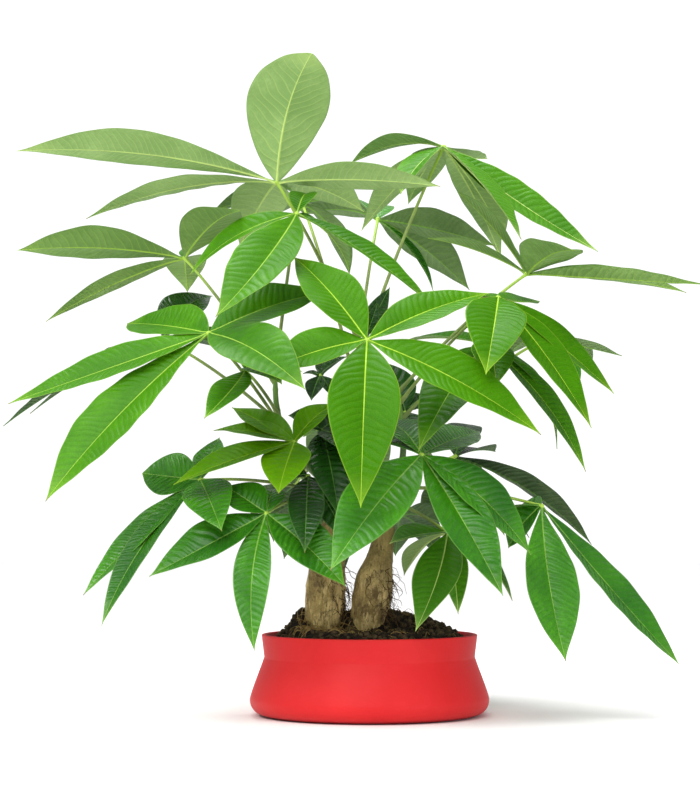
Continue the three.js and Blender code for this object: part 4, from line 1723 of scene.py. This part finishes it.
    def column(self, sign: int, number: int) -> tuple[Array, ...]:
        """Shape the blade along one column of points.

        Args:
            sign: 1 right of the midrib, and -1 left of it.
            number: The column's number, out from the midrib.

        Returns:
            The points of the upper and the under side, and their span, place and turns.
        """
        offset = self.half * self.columns[number]
        if number < len(self.rib_columns):
            offset = np.minimum(offset, self.rib_columns[number] * (0.4 + 0.6 * self.rib))
        nearness = offset / np.maximum(self.half, 1e-6)
        turns = self.turns(sign, offset)
        lift = self.lift(sign, offset, nearness, turns)
        spot = self.centre + self.side * (sign * offset * math.cos(self.fold))[:, None]
        flesh = self.thickness / 2 * (1 - 0.6 * nearness**4)
        joint = self.joint_swell * np.exp(-((self.distance / self.joint_reach) ** 2))
        joint = joint * np.sqrt(np.clip(1 - nearness**2, 0, 1))
        groove = self.groove_depth * np.exp(-((offset / self.groove_width) ** 2)) * (1 - self.t)
        keel = 0.75 * self.rib
        ridge = keel * np.exp(-((offset / (keel + 0.12)) ** 2))
        upper = spot + self.normal * (lift + flesh + joint - groove)[:, None]
        under = spot + self.normal * (lift - flesh - joint - ridge)[:, None]
        span = np.stack([self.distance, sign * offset, self.half - offset], axis=1) * MM
        place = np.stack([self.t, nearness, np.full(self.rows, self.tone)], axis=1)
        return upper, under, span, place, turns

    def add_to(self, mesh: Mesh) -> None:
        """Add the leaflet to a mesh, as rings of points across its upper and under sides.

        Args:
            mesh: The leaf's mesh.
        """
        last = len(self.columns) - 1
        order = [(-1, j) for j in range(last, 0, -1)] + [(1, j) for j in range(last + 1)]
        upper, under, span, place, turns = zip(*(self.column(sign, j) for sign, j in order))
        ring, span, place, turns = (
            np.stack(there + back[::-1], axis=1).reshape(self.rows * 2 * len(order), *there[0].shape[1:])
            for there, back in ((upper, under), (span, span), (place, place), (turns, turns))
        )
        mesh.add(ring, span=span, place=place, turns=turns)
        mesh.loft(self.rows, [0] * len(order) + [1] * (len(order) - 1) + [0], 1)


@dataclass
class Leaf:
    """One leaf: a stalk with a swollen joint at each end, and the leaflets round its tip.

    The foot swell is its height, its distance up the stalk and its length, and the tip swell is its
    height and its length.
    """

    plan: LeafPlan
    shoot: Shoot
    seed: int
    stalk_radius: float = 1.5
    stalk_taper: float = 0.4
    stalk_arch: float = 0.08
    foot_swell: Triple = (0.6, 4.0, 4.5)
    tip_swell: Range = (0.7, 3.2)
    knob_radius: float = 2.1
    knob_length: float = 3.8

    def stalk(self, material: Material) -> Object:
        """Sweep the stalk from the middle of its shoot to the hub.

        Args:
            material: The stalk's material.

        Returns:
            The stalk and the knob at its tip.
        """
        foot = self.shoot.line()[round(self.plan.at * self.shoot.steps)]
        hub, faces = np.array(self.plan.hub, float), unit(np.array(self.plan.faces, float))
        length = float(np.linalg.norm(hub - foot))
        middle = (foot + hub) / 2 + np.array((0, 0, self.stalk_arch * length))
        t = np.linspace(0, 1, 40)
        (rise, start, reach), (tip_rise, tip_reach) = self.foot_swell, self.tip_swell
        radii = self.stalk_radius - self.stalk_taper * t
        radii += rise * np.exp(-(((t * length - start) / reach) ** 2))
        radii += tip_rise * np.exp(-(((1 - t) * length / tip_reach) ** 2))
        knob = np.array([hub + faces * self.knob_length * s for s in np.linspace(-0.5, 0.5, 9)])
        bulge = self.knob_radius * np.sqrt(np.clip(1 - np.linspace(-0.99, 0.99, 9) ** 2, 0.0, 1))
        lines = [Line(bezier(foot, middle, hub, t), radii), Line(knob, bulge, 1.0)]
        return tubes(f"stalk_{self.plan.name}", lines, material, 14)

    def build(self, skins: dict[Age, list[Material]], stalk: Material) -> None:
        """Make the whole leaf as one piece.

        Args:
            skins: The upper and under material of each age.
            stalk: The stalk's material.
        """
        draw = random.Random(self.seed)
        mesh = Mesh()
        hub, faces = np.array(self.plan.hub, float), unit(np.array(self.plan.faces, float))
        for leaflet in self.plan.leaflets:
            Blade(leaflet, hub, faces, self.plan.age in FULL_GROWN, draw).add_to(mesh)
        item = mesh.object(f"leaf_{self.plan.name}_fine", [*skins[self.plan.age], stalk])
        stem = self.stalk(stalk)
        with bpy.context.temp_override(active_object=item, selected_editable_objects=[item, stem]):
            bpy.ops.object.join()
        register(item, "leaf", f"leaf_{self.plan.name}")


@dataclass
class Studio:
    """The floor, the soft light and the camera, level with the leaves and a little above the pot."""

    floor_size: float = 6.0
    camera_place: Triple = (-0.0156, -1.8, 0.160)
    lens: float = 101.25
    sensor: float = 36.0
    lift: float = 115 / 800
    sky: float = 0.5
    sky_seen: float = 1.1
    sun_from: Triple = (-0.2, -0.62, 0.76)
    sun_strength: float = 2.5
    sun_spread: float = math.radians(50)
    aim: Triple = (0.0, 0.0, 0.25)

    def build(self, floor: Material) -> None:
        """Set the studio up.

        Args:
            floor: The floor's material.
        """
        self.lay_floor(floor)
        self.light_sky()
        self.hang("main", "SUN", self.sun_from, energy=self.sun_strength, angle=self.sun_spread)
        for name, place, size, power in (
            ("overhead", (-0.15, 0.3, 1.5), 0.9, 18.0),
            ("side", (-1.3, -0.5, 1.2), 0.45, 8.0),
            ("fill", (1.1, -1.3, 0.45), 0.8, 5.0),
        ):
            self.hang(name, "AREA", place, self.aim, energy=power, size=size)
        data = bpy.data.cameras.new("camera")
        data.sensor_width, data.sensor_fit = self.sensor, "AUTO"
        data.lens, data.shift_y = self.lens, self.lift
        camera = link("camera", data)
        camera.location = self.camera_place
        camera.rotation_euler = (math.pi / 2, 0, 0)
        bpy.context.scene.camera = camera

    def lay_floor(self, material: Material) -> None:
        """Lay the plain pale floor.

        Args:
            material: The floor's material.
        """
        mesh = bpy.data.meshes.new("floor")
        size = self.floor_size
        corners = [(-size, -size, 0), (size, -size, 0), (size, size, 0), (-size, size, 0)]
        mesh.from_pydata(corners, [], [(0, 1, 2, 3)])
        mesh.materials.append(material)
        link("floor", mesh)

    def light_sky(self) -> None:
        """Light everything evenly with a white sky, which the camera sees as pure white."""
        world = bpy.data.worlds.new("studio")
        world.use_nodes = True
        background = world.node_tree.nodes["Background"]
        background.inputs["Color"].default_value = (1, 1, 1, 1)
        wiring = Wiring(world.node_tree)
        seen = wiring.sources("ShaderNodeLightPath", {})["Is Camera Ray"]
        wiring.feed(background.inputs["Strength"], seen * (self.sky_seen - self.sky) + self.sky)
        bpy.context.scene.world = world
        bpy.context.scene.view_settings.view_transform = "Standard"

    def hang(
        self, name: str, kind: str, place: Triple, aim: Triple = (0.0, 0.0, 0.0), **settings: float
    ) -> None:
        """Hang one soft light.

        Args:
            name: The light's name.
            kind: Its type.
            place: Where it hangs.
            aim: The spot that it faces.
            settings: Its other properties.
        """
        data = bpy.data.lights.new(name, kind)
        for setting, value in settings.items():
            setattr(data, setting, value)
        lamp = link(name, data)
        lamp.location = place
        lamp.rotation_euler = (Vector(aim) - Vector(place)).to_track_quat("-Z", "Y").to_euler()


# ---- The whole plant ----

# Per age: upper light, upper dark, rib, under light and under dark, in screen colours. The under colours are
# partly the under side's own paler green and partly painted glow of light shining through the leaf.
LEAF_COLOURS = {
    Age.VIVID: ((66, 130, 0), (46, 104, 0), (168, 204, 66), (116, 150, 76), (86, 120, 54)),
    Age.BRIGHT: ((72, 136, 4), (40, 100, 2), (158, 196, 76), (134, 168, 92), (98, 134, 66)),
    # PALE: painted light for low_centre, which sits in shade; the crown leaves take it as their own colour.
    Age.PALE: ((78, 142, 8), (48, 110, 4), (196, 220, 126), (162, 192, 120), (126, 160, 92)),
    Age.MATURE: ((72, 148, 20), (22, 88, 7), (128, 174, 72), (120, 148, 92), (86, 114, 64)),
    # DARK: partly old leaves' own deep green, partly painted shade for the leaves deep in the foliage.
    Age.DARK: ((34, 86, 18), (9, 44, 10), (96, 140, 64), (90, 114, 74), (50, 76, 44)),
    Age.YOUNG: ((102, 158, 2), (66, 122, 0), (156, 192, 50), (108, 142, 50), (80, 114, 36)),
}


def leaf_skins() -> dict[Age, list[Material]]:
    """Make the skins of each age of leaf.

    Returns:
        The upper and the under material, by age.
    """
    skins = {}
    for age, colours in LEAF_COLOURS.items():
        light, dark, rib, under_light, under_dark = (srgb(*colour) for colour in colours)
        full_grown = age in FULL_GROWN
        relief = 0.0005 if full_grown else 0.0003
        rough, wax = (0.2, 0.28) if full_grown else (0.3, 0.06 if age is Age.VIVID else 0.11)
        upper, under = f"leaf_{age.value}_upper", f"leaf_{age.value}_under"
        sides = (
            # The 0.36 and 0.22 set the painted shade in the grooves beside the side veins.
            LeafFinish(upper, Side.UPPER, light, dark, rib, rough, relief, 0.36, wax),
            # The under side's colours carry painted glow of light through the leaf as well as its own paler
            # green.
            LeafFinish(under, Side.UNDER, under_light, under_dark, rib, 0.6, relief, 0.22, 0.1),
        )
        skins[age] = [side.material() for side in sides]
    return skins


def main() -> None:
    """Load the frame and build the plant, its pot and the studio."""
    logging.basicConfig(level=logging.INFO, format="%(name)s: %(message)s")
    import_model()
    stalk, stem, bark, mix, crumb, straw, hair, glaze, floor = (
        finish.material()
        for finish in (
            StemFinish("stalk", srgb(134, 154, 74), srgb(98, 118, 54), srgb(164, 200, 70)),
            StemFinish("stem", srgb(98, 126, 62), srgb(64, 90, 42), srgb(104, 146, 58)),
            BarkFinish(),
            EarthFinish("potting_mix", srgb(52, 43, 33), srgb(18, 15, 12), 0.0012),
            EarthFinish("crumbs", srgb(96, 80, 56), srgb(24, 20, 15), 0.0008),
            EarthFinish("straw", srgb(186, 156, 98), srgb(112, 86, 48), 0.0003),
            EarthFinish("root_hairs", srgb(104, 80, 50), srgb(40, 30, 20), 0.0003),
            GlazeFinish(),
            FloorFinish(),
        )
    )
    Pot().build(glaze)
    soil = Soil()
    soil.build(mix, crumb, straw)
    for plan, count, seed in zip(TRUNKS, (70, 90), (21, 22)):
        trunk = Trunk(plan)
        trunk.build(bark)
        trunk.hairs(soil, hair, count, seed)
    shoots = {plan.name: Shoot(plan) for plan in SHOOTS}
    for shoot in shoots.values():
        shoot.build(stem)
    skins = leaf_skins()
    for number, plan in enumerate(LEAVES):
        Leaf(plan, shoots[plan.shoot], number + 1).build(skins, stalk)
    Studio().build(floor)


if __name__ == "__main__":
    main()
